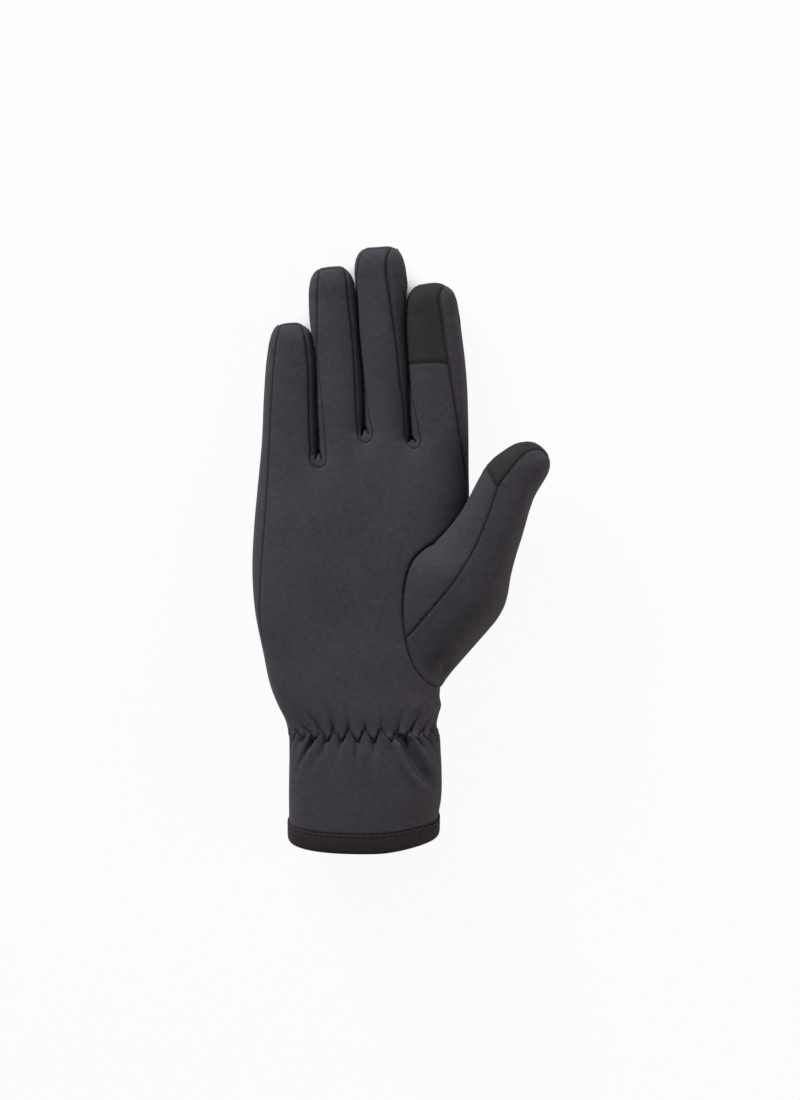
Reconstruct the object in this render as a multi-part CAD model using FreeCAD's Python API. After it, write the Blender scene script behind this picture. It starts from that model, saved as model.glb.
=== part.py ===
"""Touchscreen glove for a right hand, filled as if worn and lying on its back, in millimetres.

The stretch-fabric skin is a thin shell with a hollow for the hand. Its cut panels are separate
solids that meet face to face along their seams: a palm panel, a back panel, a side gusset, the
walls between the fingers, and a two-panel thumb set into the palm. Each digit folds at its root.
The fabric that creases there is a solid of its own, pointed at the fold line.

X runs from the little finger to the thumb, Y from the cuff to the fingertips, Z up from the table
through the back of the hand to the palm.
"""
import FreeCAD
import Part
import math
import os
from dataclasses import dataclass

V = FreeCAD.Vector

# Fabric
WALL = 1.2                  # softshell fabric, face to brushed inside
BODY_GAP = 0.3              # between fabric on two sides of a fold
WEDGE_SPARE = 1.0           # degrees kept free past a fold's limit, on each side
FAR = 400.0                 # reach of cutting solids

CRUMB = 0.5                 # slivers under this volume are cutting waste

# Hand and cuff
HEM_TILT_DROP = 13.0        # how much further the palm side of the hem reaches
CUFF_DEPTH = 44.0           # cuff opening, back to palm
CUFF_HALF_WIDTH = 32.0
WRIST_Y = 52.0              # elastic line
WRIST_HALF_WIDTH = 31.6
WRIST_TOP = 40.0
KNUCKLE_Y = 160.0
WEB_Y = 171.0               # bottom of the slit beside the little finger
LONG_WEB_Y = 179.6          # bottom of the other two slits
HAND_SPACING = 13.0         # between the sections that the forms are drawn through
DIGIT_SPACING = 16.0
CORNER_SHARE = 0.46         # corner radius as a share of a section's height
SIDE_SEAM_END_Y = 84.0      # the side gusset runs out to a point here
INDEX_SEAM_END_Y = 156.0    # the forefinger's outer wall runs out to a point here

# Cuff binding and wrist elastic
BINDING_HEIGHT = 7.2
BINDING_WALL = 0.8
BINDING_SEAT = 0.9          # binding below the fabric edge
ELASTIC_WIDTH = 9.0
ELASTIC_WALL = 0.8
TRIM_ROOM = 0.15            # between the fabric and the trim sewn over or under it

# Folds, in degrees from rest towards the palm
FINGER_FOLD = 70.0
THUMB_FOLD = 50.0


@dataclass
class Section:
    """One cross-section of a tube: its place along the tube and its four sides."""
    y: float
    left: float
    right: float
    bottom: float
    top: float

    def inset(self, by):
        """The same section with every side moved in by a distance."""
        return Section(self.y, self.left + by, self.right - by, self.bottom + by, self.top - by)

    def wire(self):
        """A closed outline with four straight sides and four round corners."""
        r = CORNER_SHARE * min(self.top - self.bottom, self.right - self.left)
        k = r * (1 - math.sqrt(0.5))

        def at(x, z):
            return V(x, self.y, z)

        l, t, b, w = self.left, self.top, self.bottom, self.right
        edges = [
            Part.LineSegment(at(l + r, b), at(w - r, b)),
            Part.Arc(at(w - r, b), at(w - k, b + k), at(w, b + r)),
            Part.LineSegment(at(w, b + r), at(w, t - r)),
            Part.Arc(at(w, t - r), at(w - k, t - k), at(w - r, t)),
            Part.LineSegment(at(w - r, t), at(l + r, t)),
            Part.Arc(at(l + r, t), at(l + k, t - k), at(l, t - r)),
            Part.LineSegment(at(l, t - r), at(l, b + r)),
            Part.Arc(at(l, b + r), at(l + k, b + k), at(l + r, b)),
        ]
        return Part.Wire([e.toShape() for e in edges])


def smoothed(values, places, at):
    """Reads a curve through values at places, which never swings past them."""
    steps = [b - a for a, b in zip(places, places[1:])]
    rises = [(b - a) / s for a, b, s in zip(values, values[1:], steps)]
    slopes = [rises[0]]
    for before, after in zip(rises, rises[1:]):
        flat = before * after <= 0
        slopes.append(0.0 if flat else 2 * before * after / (before + after))
    slopes.append(rises[-1])
    i = max(n for n in range(len(steps)) if n == 0 or places[n] <= at)
    t = (at - places[i]) / steps[i]
    ahead = t * t * (3 - 2 * t)
    return (values[i] * (1 - ahead) + values[i + 1] * ahead
            + steps[i] * slopes[i] * t * (1 - t) ** 2 - steps[i] * slopes[i + 1] * t * t * (1 - t))


def filled_in(sections, spacing):
    """The same tube as evenly spaced sections, so that a loft through them doesn't swing."""
    places = [s.y for s in sections]
    spans = max(2, round((places[-1] - places[0]) / spacing))
    made = []
    for n in range(spans + 1):
        y = places[0] + (places[-1] - places[0]) * n / spans
        sides = [smoothed([getattr(s, side) for s in sections], places, y)
                 for side in ("left", "right", "bottom", "top")]
        made.append(Section(y, *sides))
    return made


def loft(sections):
    """A solid through sections, facing outwards."""
    made = Part.makeLoft([s.wire() for s in sections], True, False)
    return made if made.Volume > 0 else made.reversed()


@dataclass
class Digit:
    """A finger or thumb: a tube along its own +Y, placed in the hand at a lean."""
    name: str
    root: tuple                 # where the tube starts inside the hand, x and y
    lean: float                 # degrees, positive towards the thumb
    length: float               # root to tip
    half_widths: tuple          # at each of the places
    tops: tuple                 # palm side's height at each of the places
    tip_round: float            # radius where the tip turns over
    fold_at: tuple              # a point of the fold line, x and y in the hand
    fold_lean: float            # degrees between the fold line and X
    fold_limit: float
    seams: tuple                # front panel's edges as shares of the half width, left and right
    back_seam: float = 0.62     # back panel's edges, the same way
    bottoms: tuple = (-0.6, -0.6, -0.6)         # a negative bottom is cut flat at the table
    centres: tuple = (0.0, 0.0, 0.0)            # the tube's middle, across the digit
    places: tuple = (0.0, 0.62, 0.88)           # shares of the length

    def place(self, shape):
        """Moves a shape from the digit's own frame into the hand."""
        placed = shape.copy()
        placed.Placement = FreeCAD.Placement(
            V(self.root[0], self.root[1], 0), FreeCAD.Rotation(V(0, 0, 1), -self.lean))
        return placed

    def stations(self):
        """The tube's sections in its own frame, up to the tip."""
        made = [Section(share * self.length, c - w, c + w, b, t) for share, c, w, b, t in
                zip(self.places, self.centres, self.half_widths, self.bottoms, self.tops)]
        last = made[-1]
        taper = 0.94
        middle, half = (last.left + last.right) / 2, (last.right - last.left) / 2
        made.append(Section(self.length, middle - half * taper, middle + half * taper,
                            last.bottom, last.bottom + (last.top - last.bottom) * taper))
        return made

    def solid(self, inset):
        """The filled tube, its tip edge rounded, taken in by a distance all round."""
        sections = [s.inset(inset) for s in self.stations()]
        sections[-1].y -= inset
        tube = loft(filled_in(sections, DIGIT_SPACING))
        tip_y = sections[-1].y
        edges = [e for e in tube.Edges
                 if abs(e.BoundBox.YMin - tip_y) < 0.01 and abs(e.BoundBox.YMax - tip_y) < 0.01]
        return self.place(tube.makeFillet(self.tip_round - inset, edges))

    def shell(self):
        """The digit's skin, its back cut flat where it lies on the table."""
        outer = self.solid(0).common(above(0))
        return outer.cut(self.solid(WALL).common(above(WALL)))

    def fold_share(self):
        """How far along the digit its fold line crosses it, as a share of its length."""
        lean, fold = math.radians(self.lean), math.radians(self.fold_lean)
        across, up = (self.fold_at[n] - self.root[n] for n in (0, 1))
        return (across * math.sin(fold) + up * math.cos(fold)) / math.cos(lean - fold) / self.length

    def middle_height(self):
        """Height of the fold line, halfway up the tube."""
        low, high = (smoothed(sides, self.places, self.fold_share())
                     for sides in (self.bottoms, self.tops))
        return (max(low, 0.0) + high) / 2

    def fold_side(self, side):
        """What lies before the fold (-1), after it (1) or in the wedge that creases (0)."""
        z = self.middle_height()
        half_gap = BODY_GAP / 2
        slope = math.tan(math.radians(self.fold_limit / 2 + WEDGE_SPARE))
        if side == 0:
            outline = [(0, z + half_gap), (FAR * slope, z + half_gap + FAR),
                       (half_gap - FAR * slope, z + half_gap + FAR)]
        else:
            outline = [(half_gap, -FAR), (half_gap, z), (half_gap + FAR * slope, z + FAR),
                       (9 * FAR, z + FAR), (9 * FAR, -FAR)]
            outline = [(side * y, height) for y, height in outline]
        ring = [V(-FAR, y, height) for y, height in outline]
        prism = Part.Face(Part.makePolygon(ring + ring[:1])).extrude(V(2 * FAR, 0, 0))
        prism.Placement = FreeCAD.Placement(
            V(self.fold_at[0], self.fold_at[1], 0), FreeCAD.Rotation(V(0, 0, 1), -self.fold_lean))
        return prism

    def strip(self, left_share, right_share, z_low, z_high):
        """A curtain along the digit between two shares of its half width, past its tip."""
        stations = self.stations()
        before, after = stations[0], stations[-1]
        ends = [Section(before.y - self.length, before.left, before.right, 0, 0), *stations,
                Section(after.y + self.length, after.left, after.right, 0, 0)]
        middles = [(s.left + s.right) / 2 for s in ends]
        halves = [(s.right - s.left) / 2 for s in ends]
        left = [(m - left_share * h, s.y) for m, h, s in zip(middles, halves, ends)]
        right = [(m + right_share * h, s.y) for m, h, s in zip(middles, halves, ends)]
        return self.place(curtain(left + right[::-1], z_low, z_high))


FINGERS = [
    Digit("little", (-32.4, 148.0), 0.2, 79.9, (11.6, 10.6, 9.9), (20.0, 17.4, 15.6), 5.2,
          (0.0, 180.0), 0.0, FINGER_FOLD, (0.74, 0.66)),
    Digit("ring", (-9.4, 148.0), -2.75, 104.2, (9.3, 9.3, 9.2), (21.5, 18.6, 16.6), 5.4,
          (0.0, 189.0), 0.0, FINGER_FOLD, (0.56, 0.60)),
    Digit("middle", (10.8, 148.0), -2.7, 112.9, (9.4, 9.5, 10.7), (21.8, 19.0, 17.0), 5.6,
          (0.0, 190.0), 0.0, FINGER_FOLD, (0.86, 0.36)),
    Digit("index", (34.6, 148.0), -4.0, 97.3, (10.4, 12.3, 12.5, 12.0, 10.8),
          (21.2, 20.0, 18.8, 17.6, 16.8), 5.6,
          (0.0, 187.0), 0.0, FINGER_FOLD, (0.80, 0.46),
          bottoms=(-0.6,) * 5, centres=(0.0,) * 5, places=(0.0, 0.35, 0.62, 0.8, 0.9)),
]
LITTLE, RING, MIDDLE, INDEX = FINGERS
THUMB = Digit("thumb", (32.0, 96.0), 28.2, 91.0,
              (4.0, 18.2, 23.0, 18.6, 13.0, 12.4), (27.0, 35.0, 38.0, 37.0, 35.0, 33.0), 8.4,
              (58.5, 145.3), 28.2, THUMB_FOLD, (0.0, 0.0),
              bottoms=(10.0, 3.0, 4.0, 7.0, 10.0, 12.0),
              centres=(8.0, -3.4, -5.2, -3.0, -2.2, -3.0),
              places=(-0.24, -0.03, 0.20, 0.42, 0.62, 0.84))

# Seams drawn on the hand, as x and y
SIDE_SEAM = [(-40.8, 181.0), (-41.4, 165.0), (-42.8, 150.0), (-44.2, 131.0), (-45.2, 113.0),
             (-46.4, 100.0), (-46.6, SIDE_SEAM_END_Y)]
INDEX_SEAM = [(38.9, 189.0), (41.6, 176.0), (43.4, 165.0), (45.6, INDEX_SEAM_END_Y)]
THUMB_SEAM = [(-11.0, -12.0), (-6.5, 13.0), (-2.5, 42.0), (-6.4, 65.0), (-5.6, 75.0),
              (-3.2, 84.0), (4.0, 96.0)]     # across and along the thumb
THUMB_PATCH_EDGE = [(-20.0, 70.8), (-6.4, 65.0)]
INDEX_PATCH_EDGE_Y = 211.0
WEB_ENDS = [(-20.5, 165.6), (-0.2, 175.6), (20.8, 173.8)]   # lowest point of each slit's seam
WEB_HALF_WIDTH = 3.2

HAND = [
    Section(-8.0, -CUFF_HALF_WIDTH, CUFF_HALF_WIDTH, 1.1, CUFF_DEPTH),
    Section(24.0, -CUFF_HALF_WIDTH, CUFF_HALF_WIDTH, 1.1, CUFF_DEPTH - 1),
    Section(WRIST_Y, -WRIST_HALF_WIDTH, WRIST_HALF_WIDTH, 2.4, WRIST_TOP),
    Section(76.0, -41.4, 33.0, -0.6, 36.0),
    Section(104.0, -47.6, 38.0, -0.6, 33.0),
    Section(132.0, -48.2, 42.6, -0.6, 29.5),
    Section(KNUCKLE_Y, -45.6, 44.6, -0.6, 24.0),
    Section(WEB_Y, -43.4, 43.6, 0.8, 17.4),
]
LONG_FINGER_ROOTS = [       # the hand reaches further up between the three longer fingers
    Section(146.0, -19.0, 43.0, 0.6, 21.5),
    Section(163.0, -19.4, 43.2, 0.6, 19.5),
    Section(LONG_WEB_Y, -19.8, 42.6, 1.0, 16.0),
]


def hand_tube(inset, end_inset=0.0, sections=None):
    """The filled hand and cuff, taken in by a distance, with its far end taken in as well."""
    made = [s.inset(inset) for s in sections or HAND]
    made[-1].y -= end_inset
    return loft(filled_in(made, HAND_SPACING))


def above(height):
    """Everything above a height."""
    return box(-FAR, FAR, -FAR, FAR, height, FAR)


def box(x0, x1, y0, y1, z0, z1):
    """A plain box between its limits."""
    return Part.makeBox(x1 - x0, y1 - y0, z1 - z0, V(x0, y0, z0))


def curtain(points, z_low, z_high):
    """A solid between two heights whose plan is a closed outline of straight runs."""
    ring = [V(x, y, z_low) for x, y in points]
    return Part.Face(Part.makePolygon(ring + ring[:1])).extrude(V(0, 0, z_high - z_low))


def hem_slab(low, high):
    """What lies between two planes that lean like the hem, at distances from its palm side."""
    run = HEM_TILT_DROP / CUFF_DEPTH
    outline = [(low - run * FAR, CUFF_DEPTH + FAR), (high - run * FAR, CUFF_DEPTH + FAR),
               (high + run * (CUFF_DEPTH + FAR), -FAR), (low + run * (CUFF_DEPTH + FAR), -FAR)]
    ring = [V(-FAR, y, z) for y, z in outline]
    return Part.Face(Part.makePolygon(ring + ring[:1])).extrude(V(2 * FAR, 0, 0))


def palm_side():
    """Everything on the palm's side of the middle height, which falls from cuff to fingers."""
    line = [(s.y, (max(s.bottom, 0) + s.top) / 2) for s in HAND]
    line = [(-FAR, line[0][1]), *line, (FAR, line[-1][1])]
    ring = [V(-FAR, y, z) for y, z in [*line, (FAR, FAR), (-FAR, FAR)]]
    return Part.Face(Part.makePolygon(ring + ring[:1])).extrude(V(2 * FAR, 0, 0))


def side_gusset_area():
    """Plan of the side gusset, from the little finger down to its point."""
    return curtain([*SIDE_SEAM, (-FAR, SIDE_SEAM_END_Y), (-FAR, FAR), (SIDE_SEAM[0][0], FAR)],
                   -FAR, FAR)


def index_wall_area():
    """Plan of the forefinger's outer wall below its fold."""
    return curtain([*INDEX_SEAM, (FAR, INDEX_SEAM_END_Y), (FAR, FAR), (INDEX_SEAM[0][0], FAR)],
                   -FAR, FAR)


def web_area(before, after, end):
    """Plan of the wall at the bottom of one slit, between two fingers' seams."""
    x, y = end
    shoulder = y + WEB_HALF_WIDTH
    top = after.fold_at[1] + 20
    left = before.place(Part.Vertex(before.seams[1] * before.half_widths[0],
                                    top - before.root[1], 0)).Point.x
    right = after.place(Part.Vertex(-after.seams[0] * after.half_widths[0],
                                    top - after.root[1], 0)).Point.x
    tenth = WEB_HALF_WIDTH * math.sqrt(0.5)
    outline = [(left, top), (x - WEB_HALF_WIDTH, shoulder), (x - tenth, shoulder - tenth), (x, y),
               (x + tenth, shoulder - tenth), (x + WEB_HALF_WIDTH, shoulder), (right, top)]
    return curtain(outline, -FAR, FAR)


def finger_panels(finger):
    """The moving part of a finger as its cut panels, by name."""
    tube = finger.shell()
    moving = tube.common(finger.fold_side(1))
    z = finger.middle_height()
    front = moving.common(finger.strip(*finger.seams, z, FAR))
    back = moving.common(finger.strip(finger.back_seam, finger.back_seam, -FAR, z))
    walls = moving.cut(front.fuse(back))
    parts = {
        finger.name + "_back": back,
        finger.name + "_wall_left": walls.common(finger.strip(9, 0, -FAR, FAR)),
        finger.name + "_wall_right": walls.common(finger.strip(0, 9, -FAR, FAR)),
        finger.name + "_fold": tube.common(finger.fold_side(0)),
    }
    if finger is INDEX:
        tip = box(-FAR, FAR, INDEX_PATCH_EDGE_Y, FAR, -FAR, FAR)
        parts["index_touch_patch"] = front.common(tip)
        front = front.cut(tip)
    parts[finger.name + "_front"] = front
    return parts


def thumb_inner_area():
    """Plan of the thumb's panel that faces the palm, left of the seam along the thumb."""
    along = [(x, y) for x, y in THUMB_SEAM]
    return THUMB.place(curtain([(THUMB_SEAM[0][0], -FAR), *along, (THUMB_SEAM[-1][0], FAR),
                                (-FAR, FAR), (-FAR, -FAR)], -FAR, FAR))


def thumb_patch_area():
    """Plan of the thumb's touch patch, past its lower edge."""
    (x0, y0), (x1, y1) = THUMB_PATCH_EDGE
    slope = (y1 - y0) / (x1 - x0)
    return THUMB.place(curtain([(-FAR, y0 - slope * (FAR + x0)), (x0, y0), (x1, y1),
                                (FAR, y1 + slope * (FAR - x1)), (FAR, 2 * FAR),
                                (-FAR, 2 * FAR)], -FAR, FAR))


def thumb_panels(hand_outer):
    """The thumb's panels: those set into the palm and those that move, by name."""
    tube = THUMB.shell()
    base = tube.common(THUMB.fold_side(-1)).cut(hand_outer)
    moving = tube.common(THUMB.fold_side(1))
    inner = thumb_inner_area()
    patch = moving.common(inner).common(thumb_patch_area())
    return {
        "thumb_base_inner": base.common(inner),
        "thumb_base_outer": base.cut(inner),
        "thumb_inner": moving.common(inner).cut(patch),
        "thumb_outer": moving.cut(inner),
        "thumb_touch_patch": patch,
        "thumb_fold": tube.common(THUMB.fold_side(0)),
    }


def hand_panels():
    """The hand's panels, with the roots of the fingers, and the filled hand, by name."""
    outer = hand_tube(0).fuse(hand_tube(0, 0, LONG_FINGER_ROOTS))
    inner = hand_tube(WALL, WALL).fuse(hand_tube(WALL, WALL, LONG_FINGER_ROOTS))
    for finger in FINGERS:
        stub = finger.fold_side(-1)
        outer = outer.fuse(finger.solid(0).common(stub))
        inner = inner.fuse(finger.solid(WALL).common(stub))
    outer = outer.common(above(0))
    skin = outer.cut(inner.common(above(WALL)))
    skin = skin.common(hem_slab(BINDING_SEAT, FAR)).cut(THUMB.solid(0).common(THUMB.fold_side(-1)))
    parts = {"little_side_gusset": skin.common(side_gusset_area()),
             "index_wall_root": skin.common(index_wall_area())}
    for before, after, end in zip(FINGERS, FINGERS[1:], WEB_ENDS):
        parts[f"web_{before.name}_{after.name}"] = skin.common(web_area(before, after, end))
    for piece in list(parts.values()):
        skin = skin.cut(piece)
    upper = palm_side()
    parts["palm_panel"] = skin.common(upper)
    parts["back_panel"] = skin.cut(upper)
    return parts, outer


def cuff_parts():
    """The binding folded round the fabric edge, and the elastic sewn inside the wrist."""
    channel = hand_tube(-TRIM_ROOM).cut(hand_tube(WALL + TRIM_ROOM))
    fabric = channel.common(hem_slab(BINDING_SEAT, FAR))
    spread = TRIM_ROOM + BINDING_WALL
    around = hand_tube(-spread).cut(hand_tube(WALL + spread))
    elastic = hand_tube(WALL + TRIM_ROOM).cut(hand_tube(WALL + TRIM_ROOM + ELASTIC_WALL))
    band = box(-FAR, FAR, WRIST_Y - ELASTIC_WIDTH / 2, WRIST_Y + ELASTIC_WIDTH / 2, -FAR, FAR)
    return {"cuff_binding": around.common(hem_slab(0, BINDING_HEIGHT)).cut(fabric),
            "wrist_elastic": elastic.common(band)}


def all_parts():
    """Every solid of the glove by its node's name."""
    parts, outer = hand_panels()
    parts.update(cuff_parts())
    for finger in FINGERS:
        parts.update(finger_panels(finger))
    parts.update(thumb_panels(outer))
    return parts


def main():
    """Writes one STEP file for each node, with the origin under the middle of the whole."""
    parts = all_parts()
    whole = Part.makeCompound(list(parts.values())).optimalBoundingBox(False, False)
    shift = V(-(whole.XMin + whole.XMax) / 2, -(whole.YMin + whole.YMax) / 2, -whole.ZMin)
    os.makedirs("parts", exist_ok=True)
    for name, shape in parts.items():
        solids = Part.makeCompound([s for s in shape.Solids if s.Volume > CRUMB])
        solids.translate(shift)
        solids.exportStep(f"parts/{name}.step")
        print(name, len(solids.Solids), round(solids.Volume, 1), solids.isValid())
    print("shift", shift)


if __name__ == "__main__":
    main()
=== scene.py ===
"""The looks of a touchscreen glove for a right hand, filled and lying on its back.

The glove is cut and sewn as a real one is: a palm sheet that runs on into four finger fronts, a
back sheet, folded walls between the fingers that end in small teardrop webs, a side gusset, and a
two-panel thumb set into an oval seam. Every panel has its own mesh, whose edge lies on its seam.

Forms are worked out in millimetres about the middle of the hem: X to the thumb, Y to the
fingertips and Z up to the palm. They're written to meshes in metres, in the frame's own place.
"""
import logging
import math
from collections.abc import Callable, Iterable
from dataclasses import dataclass
from enum import Enum

import bpy
import numpy as np
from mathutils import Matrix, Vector, geometry, kdtree

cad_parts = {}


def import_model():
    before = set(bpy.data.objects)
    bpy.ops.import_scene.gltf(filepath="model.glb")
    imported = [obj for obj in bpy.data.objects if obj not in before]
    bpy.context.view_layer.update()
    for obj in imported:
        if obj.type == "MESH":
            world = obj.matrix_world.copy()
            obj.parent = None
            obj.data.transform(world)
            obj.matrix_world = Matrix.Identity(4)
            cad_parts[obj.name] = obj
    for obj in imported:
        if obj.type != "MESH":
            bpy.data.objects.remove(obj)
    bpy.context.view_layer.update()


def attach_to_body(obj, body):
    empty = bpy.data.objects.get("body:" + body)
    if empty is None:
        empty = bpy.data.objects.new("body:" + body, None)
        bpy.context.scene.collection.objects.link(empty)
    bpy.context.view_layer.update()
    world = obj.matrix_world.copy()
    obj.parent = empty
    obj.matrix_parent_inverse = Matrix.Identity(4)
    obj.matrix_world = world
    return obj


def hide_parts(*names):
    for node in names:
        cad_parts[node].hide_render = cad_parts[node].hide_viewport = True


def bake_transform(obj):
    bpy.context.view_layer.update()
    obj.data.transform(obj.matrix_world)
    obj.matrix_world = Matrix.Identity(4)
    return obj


log = logging.getLogger("glove")

Array = np.ndarray
Line = tuple[tuple[float, float], ...]

MM = 0.001
HAND = "hand"
HEM_ORIGIN = (-16.4155, -130.3816)  # where the middle of the hem's palm edge lies in the frame, mm


class Finish(Enum):
    """The glove's materials, by the record's material slots."""
    SOFTSHELL = "stretch_fabric"
    TOUCH = "touch_fabric"
    BINDING = "edge_binding"
    ELASTIC = "elastic_tape"
    THREAD = "seam_thread"
    EDGE_THREAD = "hem_thread"

    @property
    def slot(self) -> str:
        """The record's slot, which a thread shares with the fabric that it sews."""
        return {"seam_thread": "stretch_fabric", "hem_thread": "edge_binding"}.get(
            self.value, self.value)


class Side(Enum):
    """The two sides of a digit, seen from the palm, by the way that X runs."""
    LEFT = -1
    RIGHT = 1


def ease(low: float, high: float, value: Array) -> Array:
    """Rises smoothly from 0 at low to 1 at high."""
    t = np.clip((np.asarray(value, float) - low) / (high - low), 0.0, 1.0)
    return t * t * (3 - 2 * t)


def cubic(a: Array, b: Array, leave: Array, arrive: Array, t: Array) -> Array:
    """Places at shares t of a curve from a to b, whose slopes there are leave and arrive."""
    return (a * (1 + 2 * t) * (1 - t) ** 2 + b * t * t * (3 - 2 * t)
            + leave * t * (1 - t) ** 2 - arrive * t * t * (1 - t))


def lengths(points: Array) -> Array:
    """How far along a polyline each of its points lies."""
    return np.concatenate([[0], np.cumsum(np.linalg.norm(np.diff(points, axis=0), axis=1))])


def dome(rise: Array, power: float) -> Array:
    """A rounded edge's height, from 0 at the edge to 1 where it levels out.

    Args:
        rise: Distance in from the edge, as a share of the rounding's reach.
        power: 2 for a quarter ellipse, more for a squarer shoulder.

    Returns:
        The share of the full height.
    """
    t = 1 - np.clip(rise, 0.0, 1.0)
    return np.power(np.clip(1 - np.power(t, power), 0.0, 1.0), 1 / power)


class Track:
    """A smooth line through measured points, read at any place along one of their axes."""

    def __init__(self, points: Iterable[tuple[float, float]]) -> None:
        """Works out the line's slope at each of its points.

        Args:
            points: (y, value) pairs in any order.
        """
        table = np.array(sorted(points), float)
        self.at, self.value = table[:, 0], table[:, 1]
        run = np.diff(self.at)
        rise = np.diff(self.value) / run
        slope = np.empty(len(table))
        slope[0], slope[-1] = rise[0], rise[-1]
        slope[1:-1] = (rise[:-1] * run[1:] + rise[1:] * run[:-1]) / (run[1:] + run[:-1])
        self.slope = slope

    def __call__(self, y: Array) -> Array:
        """Reads the track, run on straight past both ends.

        Args:
            y: Where to read it.

        Returns:
            The values there.
        """
        y = np.asarray(y, float)
        i = np.clip(np.searchsorted(self.at, y) - 1, 0, len(self.at) - 2)
        run = self.at[i + 1] - self.at[i]
        t = np.clip((y - self.at[i]) / run, 0.0, 1.0)
        within = cubic(self.value[i], self.value[i + 1], run * self.slope[i],
                       run * self.slope[i + 1], t)
        before = np.minimum(y - self.at[0], 0) * self.slope[0]
        after = np.maximum(y - self.at[-1], 0) * self.slope[-1]
        return within + before + after


def resampled(points: Array, spacing: float) -> Array:
    """A smooth polyline through points, evenly spaced by length.

    Args:
        points: Corner points, one per row.
        spacing: Wanted distance between neighbours.

    Returns:
        Points from the first to the last.
    """
    fine = catmull(np.asarray(points, float), 12)
    length = lengths(fine)
    count = max(2, int(round(length[-1] / spacing)) + 1)
    wanted = np.linspace(0, length[-1], count)
    return np.column_stack([np.interp(wanted, length, fine[:, k]) for k in range(fine.shape[1])])


def catmull(points: Array, steps: int) -> Array:
    """A centripetal-like smooth curve through every point.

    Args:
        points: Corner points, one per row.
        steps: Pieces between two corner points.

    Returns:
        The finer polyline.
    """
    if len(points) < 3:
        t = np.linspace(0, 1, steps + 1)[:, None]
        return points[0] * (1 - t) + points[-1] * t
    ends = np.vstack([2 * points[0] - points[1], points, 2 * points[-1] - points[-2]])
    made = []
    for a, b, c, d in zip(ends, ends[1:], ends[2:], ends[3:]):
        t = np.linspace(0, 1, steps, endpoint=False)[:, None]
        reach = np.linalg.norm(c - b)
        before, after = np.linalg.norm(b - a) + 1e-9, np.linalg.norm(d - c) + 1e-9
        ma = (c - b + (b - a) * reach / before) / 2
        mb = (c - b + (d - c) * reach / after) / 2
        made.append(cubic(b, c, ma, mb, t))
    return np.vstack(made + [points[-1:]])


def distance_to(line: Array, x: Array, y: Array) -> Array:
    """How far points in plan lie from a polyline.

    Args:
        line: The polyline's points in plan.
        x, y: The points.

    Returns:
        Distances of the shape of x.
    """
    p = np.column_stack([np.ravel(x), np.ravel(y)])
    best = np.full(len(p), 1e9)
    for a, b in zip(line[:-1, :2], line[1:, :2]):
        along = b - a
        t = np.clip(((p - a) @ along) / max(float(along @ along), 1e-12), 0, 1)
        best = np.minimum(best, np.linalg.norm(p - a - t[:, None] * along, axis=1))
    return best.reshape(np.shape(x))


@dataclass(frozen=True)
class Level:
    """One of the hand's cross-sections: where it lies, and its palm and side heights."""
    y: float
    palm: float
    side: float
    roll: float     # how far in from the outer edges the palm side rounds over


LEVELS = [Level(*row) for row in (
    (-6, 44.0, 22.5, 33), (24, 43.0, 22.0, 33), (40, 41.2, 21.4, 33), (52, 40.0, 21.0, 32),
    (76, 36.0, 17.8, 30), (104, 33.0, 15.8, 28), (132, 29.5, 14.2, 25), (150, 26.0, 12.8, 19),
    (160, 24.0, 11.8, 16), (171, 22.2, 10.6, 13), (182, 20.8, 9.6, 11.5), (195, 19.9, 9.2, 10.5),
    (215, 19.0, 8.9, 10), (240, 17.6, 8.5, 9.5), (262, 16.8, 8.2, 9))]


@dataclass(frozen=True)
class Slit:
    """The gap between two fingers, and the seam loop of the web at its bottom."""
    end: float      # where the two walls meet, in Y
    line: Line      # the gap, as (y, x)
    loop: Line      # the web's seam from left to right, (x, y)
    crease: Line    # the web's folded notch, (x, y)


SLITS = (
    Slit(173.3, ((150, -19.4), (173.3, -20.0), (181.9, -20.3), (194.8, -20.9), (207.7, -21.1),
                 (216.3, -21.7), (222.6, -23.2), (227.0, -23.9), (237.8, -24.1),
                 (244.2, -23.5), (248.0, -22.3)),
         ((-23.3, 172.4), (-23.5, 169.3), (-23.1, 167.4), (-21.7, 166.3), (-20.0, 166.0),
          (-18.1, 166.5), (-17.1, 167.8), (-16.8, 169.5), (-17.0, 172.0)),
         ((-21.1, 170.2), (-20.1, 173.1), (-18.5, 169.6))),
    Slit(183.2, ((150, -0.2), (183.2, -0.4), (194.8, -0.6), (207.7, -1.3), (220.6, -2.6),
                 (233.5, -3.4), (241.0, -4.1), (245.8, -4.5), (250.7, -4.5), (254.1, -3.9),
                 (256.1, -3.0)),
         ((-3.1, 181.9), (-2.95, 180.1), (-2.1, 178.0), (-0.2, 176.7), (1.65, 177.4),
          (2.7, 178.9), (3.0, 180.5), (2.8, 182.2)),
         ((-1.5, 179.6), (-0.3, 183.2), (1.5, 180.6))),
    Slit(178.9, ((150, 20.6), (178.9, 19.9), (184.0, 19.4), (194.8, 18.9), (207.7, 18.5),
                 (218.4, 17.7), (227.0, 17.3), (234.3, 17.6), (240.6, 18.1), (244.0, 18.2),
                 (248.5, 17.3), (253.0, 16.5)),
         ((17.3, 181.0), (17.75, 178.4), (18.4, 176.4), (19.6, 174.8), (21.0, 174.2),
          (22.6, 174.9), (23.5, 176.4)),
         ((18.9, 177.2), (20.0, 178.9), (21.7, 176.8))),
)

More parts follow.
